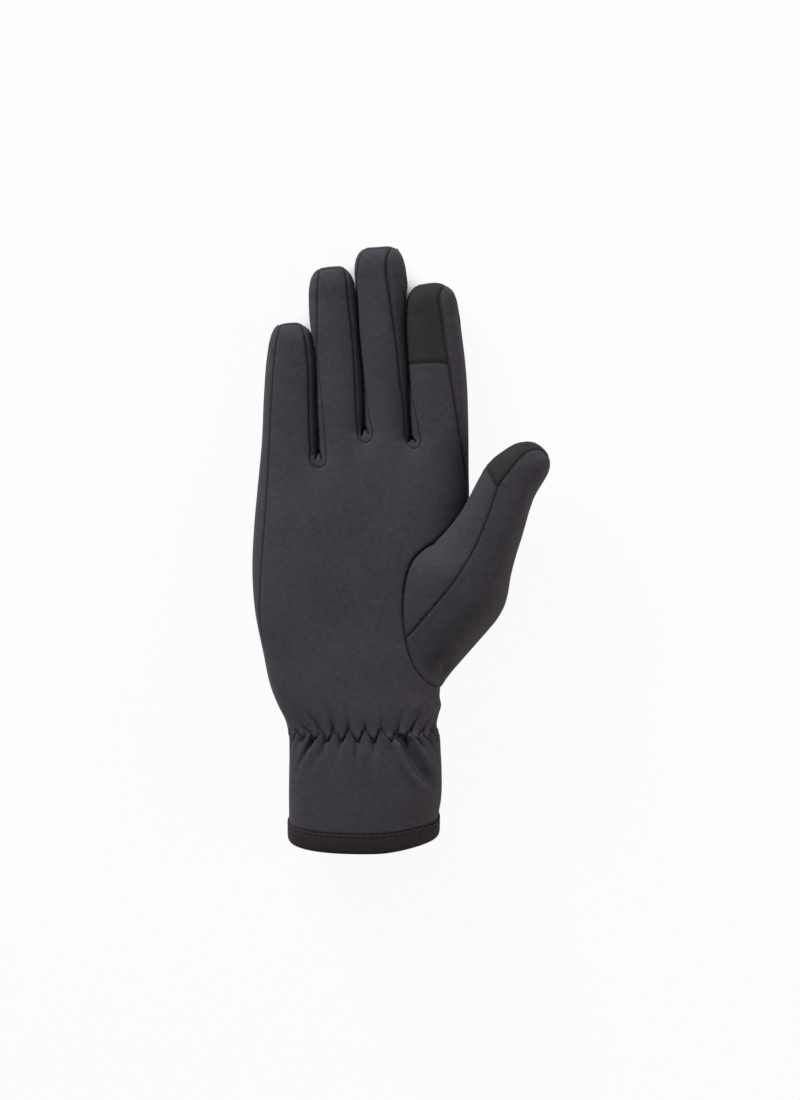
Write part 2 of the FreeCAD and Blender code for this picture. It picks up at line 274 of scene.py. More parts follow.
LEFT_EDGE = ((-8, -32.3), (25, -32.7), (45, -32.5), (51, -32.7), (57, -34.0), (63, -37.0),
             (69, -39.6), (87, -43.9), (105, -47.4), (123, -48.5), (141, -47.7), (160, -46.0),
             (178, -44.4), (196, -43.3), (214, -41.9), (221, -40.6), (224, -39.4))
RIGHT_EDGE = ((-8, 31.2), (12, 31.8), (18, 32.5), (25, 32.9), (45, 32.5), (50, 32.3),
              (55.8, 30.9), (60, 31.7), (63.7, 32.7), (67.4, 32.1), (72, 32.3), (85, 34.4),
              (104, 37.6), (132, 42.0), (151.8, 44.7), (164.7, 44.6), (186.2, 44.3),
              (201.2, 43.6), (214.1, 42.6), (222.7, 41.3), (233.5, 39.6))
LEFT_SEAM = ((-8, -26.4), (40, -26.5), (51, -26.8), (57, -28.2), (63, -31.0), (69, -33.8),
             (78, -38.6), (87, -42.4), (92, -43.7), (99.8, -45.0), (113.5, -45.0), (131.6, -44.0),
             (149.6, -42.6), (166.8, -41.6), (181.9, -40.9))
RIGHT_SEAM = ((-8, 26.4), (40, 26.4), (51, 26.1), (57, 25.4), (63, 26.2), (74, 26.6),
              (85, 28.2), (104, 31.6), (132, 36.2), (150, 41.2), (156, 42.8), (160, 43.2),
              (166.8, 42.6), (177.6, 40.9), (186.2, 39.6))
SIDE_SEAM_END = 88.0        # the side gusset's seam has run out to the edge here
INDEX_SEAM_END = 157.0      # the forefinger wall's seam has run out to the edge here
LITTLE_LOWER = 1.6          # how much lower than the others the little finger lies
PALM_HOLLOW = 1.2           # depth of the hollow in the palm
PALM_MIDDLE = -4.0          # and its middle, in X
PALM_POWER = 2.35           # how square the palm side's shoulders are
FINGER_POWER = 2.1          # and those of a finger beside a slit
BACK_POWER = 2.8            # and those of the back
INDEX_ROLL = 10.0           # further reach of the rounding at the forefinger's knuckle
BACK_ROLL = 11.0            # reach of the rounding between side and back
CUFF_ROLL = 8.0             # and its further reach at the cuff
BACK_REST = 0.25            # height over the table at which the flat back lies
WRIST_RISE = 1.0            # how much higher the back lies at the wrist
CUFF_RISE = 0.7             # and at the cuff
BACK_NARROW = 0.8           # reach of the back's other roundings, as a share of the palm side's
WALL_CLEARANCE = 0.13       # from a slit's middle line to the wall on either side
HIDDEN_SHIFT = 0.9          # the strip where no stitch shows lies this far beside a slit
HIDDEN_REACH = 1.9          # and this far to either side
HIDDEN_START = 5.0          # above the slit's end
VALLEY_START = 9.0          # how far below a web's seam the dip between two fingers starts
BACK_VALLEY_START = 2.0     # the same on the back
VALLEY_SOFT = 0.36          # how rounded that dip is, as a share of a finger's half width
HALF_FINGER = 10.0
TIP_REACH = 15.0            # length of the tip that rounds over
TIP_BLEND = 4.0             # length over which its rounding takes over from the hand's
TIP_TURN = 12.0             # length of the tip whose wall is spaced along its curved outline
TIP_CROWD = 10.0            # length over which rows crowd towards the tip
TIP_ROWS = 5                # rows of the palm side's grid that the back panel wraps over
HEM_TILT = 13.0             # how much further the palm side of the hem reaches
HEM_REST = 0.6              # how far the whole hem lies up the cuff
HEM_THUMB_SIDE = 2.4        # and how much further on the thumb's side
HEM_FADE = 34.0             # height up the cuff at which the lean has run out
CUFF_TOP = 44.0
HEM_STITCH = 6.6            # the binding's stitches, from the hem
HEM_STITCH_OUT = 0.60       # and out from the cuff's surface
BINDING_TOP = 8.2           # the line where the binding presses into the cuff
BINDING_LINES = (7.8, BINDING_TOP, 8.6, 9.1)    # edges that follow it, round that line
BINDING_DENT = 0.3
BINDING_SOFT = 0.5          # the dent's reach


class HandForm:
    """The filled hand's palm side, back and outline, as heights over the plan."""

    def __init__(self) -> None:
        """Sets up the tracks that the heights follow."""
        self.palm = Track([(s.y, s.palm) for s in LEVELS])
        self.side = Track([(s.y, s.side) for s in LEVELS])
        self.roll = Track([(s.y, s.roll) for s in LEVELS])
        self.left, self.right = Track(LEFT_EDGE), Track(RIGHT_EDGE)
        self.gaps = [Track(s.line) for s in SLITS]

    def crown(self, x: Array, y: Array) -> Array:
        """The palm side before any edge rounds over, lower over the little finger.

        Args:
            x, y: The points in plan.

        Returns:
            Heights.
        """
        little = ease(-13.0, -31.0, x) * ease(138.0, 186.0, y)
        hollow = (ease(26.0, 0.0, np.abs(x - PALM_MIDDLE)) * ease(78.0, 104.0, y)
                  * ease(150.0, 122.0, y))
        return self.palm(y) - LITTLE_LOWER * little - PALM_HOLLOW * hollow

    def front(self, x: Array, y: Array, outline: Array | None = None) -> Array:
        """Height of the palm side.

        Args:
            x, y: The points in plan.
            outline: A finger's outline; near its end the height rounds over to it.

        Returns:
            Heights over the table.
        """
        x, y = np.broadcast_arrays(np.asarray(x, float), np.asarray(y, float))
        side, reach = self.side(y), self.roll(y)
        wider = reach + INDEX_ROLL * ease(112.0, 146.0, y) * ease(186.0, 164.0, y)
        share = (dome((x - self.left(y)) / reach, PALM_POWER)
                 * dome((self.right(y) - x) / wider, PALM_POWER))
        share = self.with_fingers(share, x, y, outline, True)
        return side + (self.crown(x, y) - side) * share

    def between(self, points: Array) -> Array:
        """Whether points lie down between two fingers, where a stitch would not be seen."""
        x, y = points[:, 0], points[:, 1]
        return np.any([(np.abs(x - gap(y) - HIDDEN_SHIFT) < HIDDEN_REACH)
                       & (y > slit.end + HIDDEN_START)
                       for slit, gap in zip(SLITS, self.gaps)], axis=0)

    def back(self, x: Array, y: Array, outline: Array | None = None) -> Array:
        """Height of the back, which has settled flat on the table.

        Args:
            x, y: The points in plan.
            outline: A finger's outline; near its end the back rounds up to it.

        Returns:
            Heights over the table.
        """
        x, y = np.broadcast_arrays(np.asarray(x, float), np.asarray(y, float))
        side = self.side(y)
        rest = (BACK_REST + WRIST_RISE * ease(70.0, 52.0, y) * ease(28.0, 46.0, y)
                + CUFF_RISE * ease(50.0, 20.0, y))
        reach = np.minimum(BACK_ROLL + CUFF_ROLL * ease(75.0, 45.0, y),
                           self.roll(y) * BACK_NARROW)
        share = (dome((x - self.left(y)) / reach, BACK_POWER)
                 * dome((self.right(y) - x) / reach, BACK_POWER))
        share = self.with_fingers(share, x, y, outline, False)
        return rest + (side - rest) * (1 - share)

    def with_fingers(self, share: Array, x: Array, y: Array,
                     outline: Array | None, front: bool) -> Array:
        """Adds the dips between the fingers, and a tip's rounding, to one side's fullness.

        Args:
            share: How full that side is, from 0 at the hand's edges to 1.
            x, y: The points in plan.
            outline: A finger's outline, or None where no tip is near.
            front: True for the palm side.

        Returns:
            How full it is with them.
        """
        start, valley, tip, narrow = (
            (VALLEY_START, FINGER_POWER, PALM_POWER, 1.0) if front else
            (BACK_VALLEY_START, BACK_POWER, BACK_POWER, BACK_NARROW))
        for slit, gap in zip(SLITS, self.gaps):
            low = min(p[1] for p in slit.loop)
            depth = ease(low - start, slit.end, y)
            soft = VALLEY_SOFT * (1 - ease(low, slit.end, y))
            rise = np.hypot(np.abs(x - gap(y)) / (HALF_FINGER * narrow), soft)
            share = share * (1 - depth * (1 - dome(rise, valley)))
        if outline is not None:
            rounded = dome(distance_to(outline, x, y) / (self.roll(y) * narrow), tip)
            turn = outline[:, 1].max() - TIP_REACH
            near = ease(turn, turn + TIP_BLEND, y)
            share = share * (1 - near) + rounded * near
        return share


@dataclass
class Patch:
    """A panel's mesh before it's joined to its neighbours: its own points and faces."""
    piece: str
    finish: Finish
    body: str
    points: Array
    faces: list[tuple[int, ...]]


def grid_patch(piece: str, body: str, rows: Array, flip: bool,
               finish: Finish = Finish.SOFTSHELL) -> Patch:
    """A patch of quads over a grid of points.

    Args:
        piece: The piece that it belongs to.
        body: The body that it rides on.
        rows: Points as (rows, columns, 3).
        flip: True where rows by columns turns the faces inwards.
        finish: Its material.

    Returns:
        The patch.
    """
    count, wide = rows.shape[:2]
    index = np.arange(count * wide).reshape(count, wide)
    quads = np.stack([index[:-1, :-1], index[:-1, 1:], index[1:, 1:], index[1:, :-1]], -1)
    quads = quads.reshape(-1, 4)
    return Patch(piece, finish, body, rows.reshape(-1, 3),
                 [tuple(q[::-1]) if flip else tuple(q) for q in quads.tolist()])


SEAM_STEPS = (0.0, 0.28, 0.62, 1.1, 1.7)    # columns crowd beside a seam, in mm from it


def columns(width: float, spacing: float) -> Array:
    """Places across a panel as shares of its width, close together beside both seams.

    Args:
        width: The panel's typical width.
        spacing: Column spacing in its middle.

    Returns:
        Shares from 0 to 1.
    """
    near = np.array(SEAM_STEPS) / width
    between = max(1, int(round((1 - 2 * near[-1]) * width / spacing)))
    return np.concatenate([near[:-1], np.linspace(near[-1], 1 - near[-1], between + 1),
                           1 - near[:-1][::-1]])


@dataclass
class FingerShape:
    """A finger's outline and seams in plan, and the grids of its four panels."""
    name: str
    start: float                # where the finger's own pieces begin, in Y
    left: Line                  # outline up to the front panel's corner, (x, y)
    tip: Line                   # along the tip between the two corners, (x, y)
    right: Line                 # as on the left
    seam_left: Line             # the front panel's seams, (y, x)
    seam_right: Line
    width: float = 15.0         # typical, for the spacing of columns
    row: float = 1.0            # spacing of rows
    back_share: float = 0.38    # back seam's distance in, as a share of half width

    def __post_init__(self) -> None:
        """Sets up the tracks along the finger, by side."""
        self.at = {side: Track((y, x) for x, y in line)
                   for side, line in ((Side.LEFT, self.left), (Side.RIGHT, self.right))}
        self.seam = {Side.LEFT: Track(self.seam_left), Side.RIGHT: Track(self.seam_right)}
        self.corner = {Side.LEFT: self.left[-1], Side.RIGHT: self.right[-1]}
        self.tip_at = Track(self.tip)
        self.shares = columns(self.width, 1.05)

    def edge(self, side: Side) -> Array:
        """The outline on one side from well below the start to the corner, in plan."""
        y = np.linspace(self.start - 30, self.corner[side][1], 260)
        return np.column_stack([self.at[side](y), y])

    def outline(self) -> Array:
        """The whole outline, round the tip.

        Returns:
            Points in plan.
        """
        x = np.linspace(self.left[-1][0], self.right[-1][0], 40)
        tip = np.column_stack([x, self.tip_at(x)])
        return np.vstack([self.edge(Side.LEFT), tip, self.edge(Side.RIGHT)[::-1]])

    def steps(self) -> Array:
        """Row places, close together where the tip turns over.

        Returns:
            Shares of the length.
        """
        length = self.left[-1][1] - self.start
        turn = TIP_CROWD * (1 - np.sin(np.linspace(0, math.pi / 2, 17))[:-1])
        turn = np.append(turn[turn < TIP_CROWD - 0.5], 0.0)
        straight = np.linspace(0, length - turn[0], max(3, int((length - turn[0]) / self.row)))
        return np.concatenate([straight[:-1], length - turn]) / length

    def back_seam(self, side: Side, y: Array) -> Array:
        """The back panel's edge.

        Args:
            side: Which side.
            y: Along the finger.

        Returns:
            X there.
        """
        half = (self.at[Side.RIGHT](y) - self.at[Side.LEFT](y)) / 2
        top = self.corner[side][1]
        inward = self.back_share * half * (1 - ease(top - 9, top, y))
        return self.at[side](y) - side.value * inward

    def sheet(self, form: HandForm, front: bool) -> Array:
        """The front or back panel, from left to right.

        Args:
            form: The hand's form.
            front: True for the front.

        Returns:
            Points as (rows, columns, 3).
        """
        steps, outline = self.steps(), self.outline()
        (x0, y0), (x1, y1) = self.left[-1], self.right[-1]
        tip_x = x0 + (x1 - x0) * self.shares
        tip_y = self.tip_at(tip_x)
        tip_y[0], tip_y[-1] = y0, y1
        y = self.start + (tip_y[None, :] - self.start) * steps[:, None]
        low, high = np.minimum(y, y0), np.minimum(y, y1)
        if front:
            left, right = self.seam[Side.LEFT](low), self.seam[Side.RIGHT](high)
        else:
            left, right = self.back_seam(Side.LEFT, low), self.back_seam(Side.RIGHT, high)
        x = left + (right - left) * self.shares[None, :]
        x[-1] = tip_x
        z = (form.front if front else form.back)(x, y, outline)
        z[-1] = form.side(y[-1])
        return np.stack([x, y, z], -1)

    def wall(self, form: HandForm, side: Side) -> Array:
        """A side wall, from the front seam to the back seam.

        Args:
            form: The hand's form.
            side: Which side.

        Returns:
            Points as (rows, across, 3).
        """
        at, top = self.at[side], self.corner[side][1]
        y = self.start + (top - self.start) * self.steps()
        edge = self.edge(side)
        turning = top - TIP_TURN
        upper = np.vstack([[float(at(turning)), turning], edge[edge[:, 1] >= turning]])
        length = lengths(upper)
        part = np.clip((y - turning) / TIP_TURN, 0, 1) * length[-1]
        edge_x = np.where(y < turning, at(y), np.interp(part, length, upper[:, 0]))
        edge_y = np.where(y < turning, y, np.interp(part, length, upper[:, 1]))
        return wall_rows(form, np.column_stack([self.seam[side](y), y]),
                         np.column_stack([edge_x, edge_y]),
                         np.column_stack([self.back_seam(side, y), y]), self.outline())

    def root_wall(self, form: HandForm, side: Side, y: Array) -> Array:
        """The rows of a side wall that stay with the hand, below the finger's start."""
        lines = (self.seam[side](y), self.at[side](y), self.back_seam(side, y))
        return wall_rows(form, *(np.column_stack([x, y]) for x in lines), None)


def wall_rows(form: HandForm, front: Array, middle: Array, back: Array,
              outline: Array | None, fine: int = 1) -> Array:
    """Points across a wall, following the hand's form.

    Args:
        form: The hand's heights.
        front: The front seam in plan.
        middle: The outline in plan, a point for each of the seam's.
        back: The back seam in plan.
        outline: A finger's whole outline, or None in the hand.
        fine: How many times as many points to set across it.

    Returns:
        Points as (rows, across, 3).
    """
    made = []
    for share in 1 - np.sin(np.linspace(0, math.pi / 2, 8 * fine + 1)):
        plan = middle + (front - middle) * share
        height = form.front(plan[:, 0], plan[:, 1], outline)
        made.append(np.column_stack([plan, height if share > 1e-9 else form.side(plan[:, 1])]))
    for share in (1 - np.cos(np.linspace(0, math.pi / 2, 6 * fine + 1)))[1:]:
        plan = middle + (back - middle) * share
        made.append(np.column_stack([plan, form.back(plan[:, 0], plan[:, 1], outline)]))
    return np.stack(made, 1)


def beside(slit: Slit, side: Side, top: float) -> Line:
    """The outline left or right of a slit, as (x, y), from its bottom up to a height."""
    return tuple((x + side.value * WALL_CLEARANCE, y) for y, x in slit.line
                 if slit.end <= y < top)


FINGERS = (
    FingerShape("little", 174.0,
                ((-47.0, 150.0), (-44.4, 178.0), (-43.6, 196.0), (-42.2, 214.0), (-41.1, 220.7),
                 (-39.9, 224.3), (-38.3, 226.5), (-36.2, 227.6)),
                ((-36.2, 227.6), (-32.7, 228.2), (-29.2, 228.2), (-27.3, 227.5)),
                ((-19.5, 150.0), *beside(SLITS[0], Side.LEFT, 210.0), (-21.9, 216.3),
                 (-22.6, 221.4), (-23.9, 225.0), (-27.3, 227.5)),
                ((150.0, -42.6), (166.8, -41.6), (181.9, -40.9), (194.8, -40.3), (212.0, -39.1),
                 (223.6, -37.4), (227.6, -36.2)),
                ((160.0, -23.0), (172.4, -23.2), (177.6, -23.6), (194.8, -24.1), (212.0, -24.6),
                 (223.6, -26.2), (227.5, -27.3))),
    FingerShape("ring", 183.8,
                ((-19.3, 150.0), *beside(SLITS[0], Side.RIGHT, 210.0), (-21.6, 216.3),
                 (-22.7, 221.6), (-23.5, 226.0), (-24.3, 237.8), (-24.0, 244.4), (-22.9, 248.3),
                 (-21.5, 250.2), (-19.6, 251.6)),
                ((-19.6, 251.6), (-15.0, 252.4), (-10.3, 252.4), (-9.2, 252.1)),
                ((-0.33, 150.0), *beside(SLITS[1], Side.LEFT, 243.0), (-4.95, 246.4),
                 (-6.3, 249.2), (-9.2, 252.1)),
                ((160.0, -16.9), (174.0, -17.1), (181.9, -17.7), (194.8, -19.0), (207.7, -20.0),
                 (218.5, -20.8), (227.0, -20.8), (237.8, -20.7), (249.4, -20.0), (251.6, -19.6)),
                ((160.0, -3.0), (181.9, -3.2), (188.3, -3.7), (203.4, -4.3), (220.6, -5.3),
                 (237.8, -7.2), (249.4, -8.5), (252.1, -9.2))),
    FingerShape("middle", 183.8,
                ((-0.07, 150.0), *beside(SLITS[1], Side.RIGHT, 243.0), (-4.4, 245.8),
                 (-4.6, 250.7), (-4.3, 254.3), (-3.6, 256.6), (-2.2, 258.7), (0.2, 260.4)),
                ((0.2, 260.4), (5.6, 260.9), (10.0, 261.1), (11.6, 260.9)),
                ((20.4, 150.0), *beside(SLITS[2], Side.LEFT, 236.0), (17.97, 241.0),
                 (18.3, 244.0), (17.9, 248.5), (17.1, 253.5), (15.9, 257.0), (14.1, 259.5),
                 (11.6, 260.9)),
                ((160.0, 2.6), (181.8, 2.9), (183.8, 2.3), (186.7, 1.7), (190.0, 1.2),
                 (194.8, 0.5), (200.0, -0.1), (207.7, -0.8), (218.4, -2.0), (227.0, -2.7),
                 (233.5, -3.0), (242.1, -3.5), (250.7, -3.5), (256.7, -2.2), (260.4, 0.2)),
                ((160.0, 17.2), (179.3, 17.2), (184.0, 17.0), (193.9, 16.3), (203.4, 15.0),
                 (216.3, 13.8), (229.2, 12.0), (239.9, 10.3), (251.5, 8.8), (256.7, 9.4),
                 (260.9, 11.6))),
    FingerShape("index", 179.6,
                ((20.7, 150.0), *beside(SLITS[2], Side.RIGHT, 236.0), (18.1, 238.4),
                 (18.9, 240.6), (20.5, 242.7), (22.4, 244.3)),
                ((22.4, 244.3), (26.7, 245.2), (31.4, 245.4), (34.6, 244.3)),
                ((44.7, 151.8), (44.6, 164.7), (44.4, 186.2), (43.9, 201.2), (42.8, 214.1),
                 (41.7, 222.7), (40.3, 233.5), (39.0, 239.3), (37.3, 242.4), (34.6, 244.3)),
                ((160.0, 23.6), (179.4, 23.5), (182.2, 22.9), (185.1, 22.4), (187.5, 21.9),
                 (190.8, 21.1), (195.0, 20.2), (201.0, 19.4), (207.7, 18.95), (218.4, 18.05),
                 (227.0, 17.65), (234.3, 17.95), (238.4, 18.5), (241.2, 19.8), (244.3, 22.4)),
                ((160.0, 43.2), (166.8, 42.6), (177.6, 40.9), (186.2, 39.6), (196.9, 37.8),
                 (207.7, 36.1), (218.4, 34.4), (231.3, 32.7), (238.7, 31.8), (242.0, 32.7),
                 (244.3, 34.6)), width=17.0),
)
TOUCH_EDGE_Y = 211.2        # the forefinger pad's seam
PALM_SPACING = 1.15
SHEET_CLEAR = 0.55          # how far points stay from an outline, as a share of their spacing
LINE_CLEAR = 0.45           # and from the lines inside it


def inside(loop: Array, points: Array) -> Array:
    """Whether points in plan lie inside a closed outline.

    Args:
        loop: The outline's corners, one per row.
        points: Points in plan, one per row.

    Returns:
        A truth value for each point.
    """
    found = np.zeros(len(points), bool)
    for (x0, y0), (x1, y1) in zip(loop, np.roll(loop, -1, axis=0)):
        if y0 == y1:
            continue
        crosses = (y0 > points[:, 1]) != (y1 > points[:, 1])
        found ^= crosses & (points[:, 0] < (x1 - x0) * (points[:, 1] - y0) / (y1 - y0) + x0)
    return found


def meshed(loop: Array, lines: list[Array], spacing: float,
           band: tuple[float, float, float] | None = None
           ) -> tuple[Array, list[tuple[int, ...]]]:
    """Fills an outline in plan with triangles whose edges follow the lines given.

    Args:
        loop: The outline's points, kept as the first points of the result.
        lines: Polylines inside it that edges have to follow.
        spacing: Distance between the other points.
        band: Lowest Y, highest Y and spacing of a band that needs closer points.

    Returns:
        Points in plan and faces wound anticlockwise.
    """
    points = [loop]
    edges = [(i, (i + 1) % len(loop)) for i in range(len(loop))]
    count = len(loop)
    for line in lines:
        points.append(line)
        edges += [(count + i, count + i + 1) for i in range(len(line) - 1)]
        count += len(line)
    for step, close in ((spacing, False), (band[2], True)) if band else ((spacing, False),):
        x = np.arange(loop[:, 0].min() + step / 2, loop[:, 0].max(), step)
        y = np.arange(loop[:, 1].min() + step / 2, loop[:, 1].max(), step)
        grid = np.stack(np.meshgrid(x, y), -1)
        grid[1::2, :, 0] += step / 2
        grid = grid.reshape(-1, 2)
        if band:
            grid = grid[((grid[:, 1] > band[0]) & (grid[:, 1] < band[1])) == close]
        grid = grid[inside(loop, grid)]
        clear = distance_to(np.vstack([loop, loop[:1]]), *grid.T) > step * SHEET_CLEAR
        for line in lines:
            clear &= distance_to(line, *grid.T) > step * LINE_CLEAR
        points.append(grid[clear])
    every = np.vstack(points)
    found, _, faces, origins, _, _ = geometry.delaunay_2d_cdt(
        [Vector(p) for p in every.tolist()], edges, [], 1, 1e-5)
    plan = np.array([tuple(v) for v in found])
    for now, first in enumerate(origins):
        if first and first[0] < len(loop):
            plan[now] = loop[first[0]]
    return plan, [tuple(f) for f in faces]


def offset(line: Array, by: float) -> Array:
    """A polyline moved sideways in plan.

    Args:
        line: The polyline.
        by: How far, to the right of its direction when positive.

    Returns:
        The moved line's plan.
    """
    along = np.gradient(line[:, :2], axis=0)
    along /= np.maximum(np.linalg.norm(along, axis=1), 1e-9)[:, None]
    return line[:, :2] + by * np.column_stack([along[:, 1], -along[:, 0]])


THUMB_ROOT_SEAM = ((32.6, 71.5), (28.8, 72.7), (25.2, 75.3), (21.6, 80.0), (18.9, 86.2),
                   (17.5, 92.5), (16.3, 101.6), (16.6, 111.5), (18.0, 119.7), (20.6, 126.0),
                   (23.4, 129.2), (28.8, 133.3))
HAND_ROW = 1.1              # spacing of rows on the hand's sides
WALL_ROW = 0.9              # and on the slits' walls
ROOT_SPACING = 0.9          # of the points along the thumb's seams
HEM_SPACING = 0.9           # of the points along the hem
BACK_COARSE = 1.5           # how much further apart the back's points are than the palm's
GATHER_SPACING = 0.5        # of the palm's points where the gathers are
GATHER_SPACING_BACK = 0.7   # and of the back's
BACK_EDGE = 6.0             # the back panel's edge, in from the hand's outline
GATHER_LOW, GATHER_HIGH = 26.0, 66.0    # the gathers' folds lie between these
# From where to where in Y the front seam, the outline and the back seam run over into a finger's.
RUN_OVER = {Side.LEFT: ((155, 166), (152, 168), (140, 170)),
            Side.RIGHT: ((161, 168), (155, 170), (140, 170))}


class HandPanels:
    """The panels that stay with the hand: palm, back, side walls and the webs."""

    def __init__(self, form: HandForm) -> None:
        """Sets up the lines at the hand's sides.

        Args:
            form: The hand's form.
        """
        self.form = form
        self.finger = {Side.LEFT: FINGERS[0], Side.RIGHT: FINGERS[-1]}
        self.edge = {Side.LEFT: form.left, Side.RIGHT: form.right}
        self.seam = {Side.LEFT: Track(LEFT_SEAM), Side.RIGHT: Track(RIGHT_SEAM)}

    def side_lines(self, side: Side, y: Array) -> list[Array]:
        """Lines along one side, each of which runs over into the outer finger's own.

        Args:
            side: Which side.
            y: Where to read them.

        Returns:
            X of the front seam, the outline and the back seam.
        """
        finger, edge = self.finger[side], self.edge[side](y)
        pairs = ((self.seam[side](y), finger.seam[side](y)), (edge, finger.at[side](y)),
                 (edge - side.value * BACK_EDGE, finger.back_seam(side, y)))
        lines = []
        for (low, high), (start, end) in zip(pairs, RUN_OVER[side]):
            share = ease(start, end, y)
            lines.append(low * (1 - share) + high * share)
        return lines

    def outer_wall(self, side: Side) -> Array:
        """The wall along the outside of the hand, from the hem up to the finger's start.

        Args:
            side: Which side of the hand.

        Returns:
            Points as (rows, across, 3), from the front seam to the back seam.
        """
        top = self.finger[side].start
        low, high = GATHER_LOW, GATHER_HIGH + 12
        y = np.concatenate([np.linspace(0, low, 26)[:-1], np.linspace(low, high, 98)[:-1],
                            np.linspace(high, top, int((top - high) / HAND_ROW))])
        return wall_rows(self.form, *(np.column_stack([x, y]) for x in self.side_lines(side, y)),
                         None, 2)

    def slit_wall(self, number: int) -> Array:
        """The wall of a slit: down the left finger, round the web and up the right finger.

        Args:
            number: Which slit, counted from the little finger.

        Returns:
            Points as (rows, across, 3), from the front seam to the back seam.
        """
        slit, before, after = SLITS[number], FINGERS[number], FINGERS[number + 1]
        join = slit.end + 0.5
        down, up = (np.linspace(*ends, max(2, int(abs(ends[0] - ends[1]) / WALL_ROW) + 2))
                    for ends in ((before.start, join), (join, after.start)))
        corners = np.array([p for p in slit.loop if p[1] < join - 0.8])
        first = [float(before.seam[Side.RIGHT](join)), join]
        last = [float(after.seam[Side.LEFT](join)), join]
        loop = resampled(np.vstack([first, corners, last]), 0.5)
        length = lengths(loop)
        share = length / length[-1]
        swing = 1 - np.abs(2 * share - 1)
        gap = float(self.form.gaps[number](slit.end))
        half = WALL_CLEARANCE * np.sqrt(np.clip(1 - swing ** 2, 0, 1))
        middle = np.column_stack([gap + np.sign(share - 0.5) * half, join - 0.5 * swing])
        middle[0, 0], middle[-1, 0] = before.at[Side.RIGHT](join), after.at[Side.LEFT](join)
        straight_back = np.where(share < 0.5, before.back_seam(Side.RIGHT, join),
                                 after.back_seam(Side.LEFT, join))
        round_back = ease(0.0, 0.5, swing)
        back = loop * round_back[:, None] + (1 - round_back[:, None]) * np.column_stack(
            [straight_back, np.full(len(loop), join)])
        return np.concatenate([before.root_wall(self.form, Side.RIGHT, down[:-1]),
                               self.web_rows(loop, middle, back),
                               after.root_wall(self.form, Side.LEFT, up[1:])])

    def web_rows(self, loop: Array, middle: Array, back: Array) -> Array:
        """The web's saddle, from its seam loop over the end of the slit to the back.

        Args:
            loop: The seam loop in plan.
            middle: The slit's end in plan, a point for each of the loop's.
            back: The back seam in plan, the same way.

        Returns:
            Points as (rows, across, 3).
        """
        reach = np.clip(np.linalg.norm(loop - middle, axis=1) / HALF_FINGER, 0.05, 0.8)
        top, side = self.form.front(*loop.T), self.form.side(middle[:, 1])
        low = self.form.back(*back.T)
        made = []
        for share in 1 - np.sin(np.linspace(0, math.pi / 2, 9)):
            plan = middle + (loop - middle) * share
            rise = dome(reach * share, FINGER_POWER) / dome(reach, FINGER_POWER)
            made.append(np.column_stack([plan, side + (top - side) * rise]))
        for share in (1 - np.cos(np.linspace(0, math.pi / 2, 7)))[1:]:
            plan = middle + (back - middle) * share
            fall = dome(reach * share, BACK_POWER) / dome(reach, BACK_POWER)
            made.append(np.column_stack([plan, side + (low - side) * fall]))
        return np.stack(made, 1)

    def sheet(self, walls: dict[Side, Array], slits: list[Array], front: bool
              ) -> tuple[Array, list[tuple[int, ...]]]:
        """The palm or back sheet, whose edge is shared with the walls and the fingers.

        Args:
            walls: The outer walls by side.
            slits: The slits' walls.
            front: True for the palm.

        Returns:
            Points and faces, wound to face up for the palm and down for the back.
        """
        column = 0 if front else -1
        height = self.form.front if front else self.form.back
        left, right = walls[Side.LEFT][:, column], walls[Side.RIGHT][:, column]
        wide = right[0, 0] - left[0, 0]
        share = np.linspace(0, 1, int(wide / HEM_SPACING))[1:-1, None]
        hem = left[0] * (1 - share) + right[0] * share
        hem[:, 2] = height(hem[:, 0], hem[:, 1])
        parts = [left[:1], hem, right]
        for number in (3, 2, 1, 0):
            parts.append(FINGERS[number].sheet(self.form, front)[0][::-1][1:-1])
            if number:
                parts.append(slits[number - 1][:, column][::-1])
        parts.append(left[::-1][:-1])
        loop = np.vstack(parts)
        lines = self.guides(walls, slits, front)
        spacing = PALM_SPACING if front else PALM_SPACING * BACK_COARSE
        closer = GATHER_SPACING if front else GATHER_SPACING_BACK
        plan, faces = meshed(loop[:, :2], lines, spacing, (GATHER_LOW, GATHER_HIGH, closer))
        points = np.column_stack([plan, height(plan[:, 0], plan[:, 1])])
        lookup = {(round(x, 4), round(y, 4)): z for x, y, z in loop}
        for i, (x, y) in enumerate(plan):
            points[i, 2] = lookup.get((round(x, 4), round(y, 4)), points[i, 2])
        return points, [f if front else f[::-1] for f in faces]

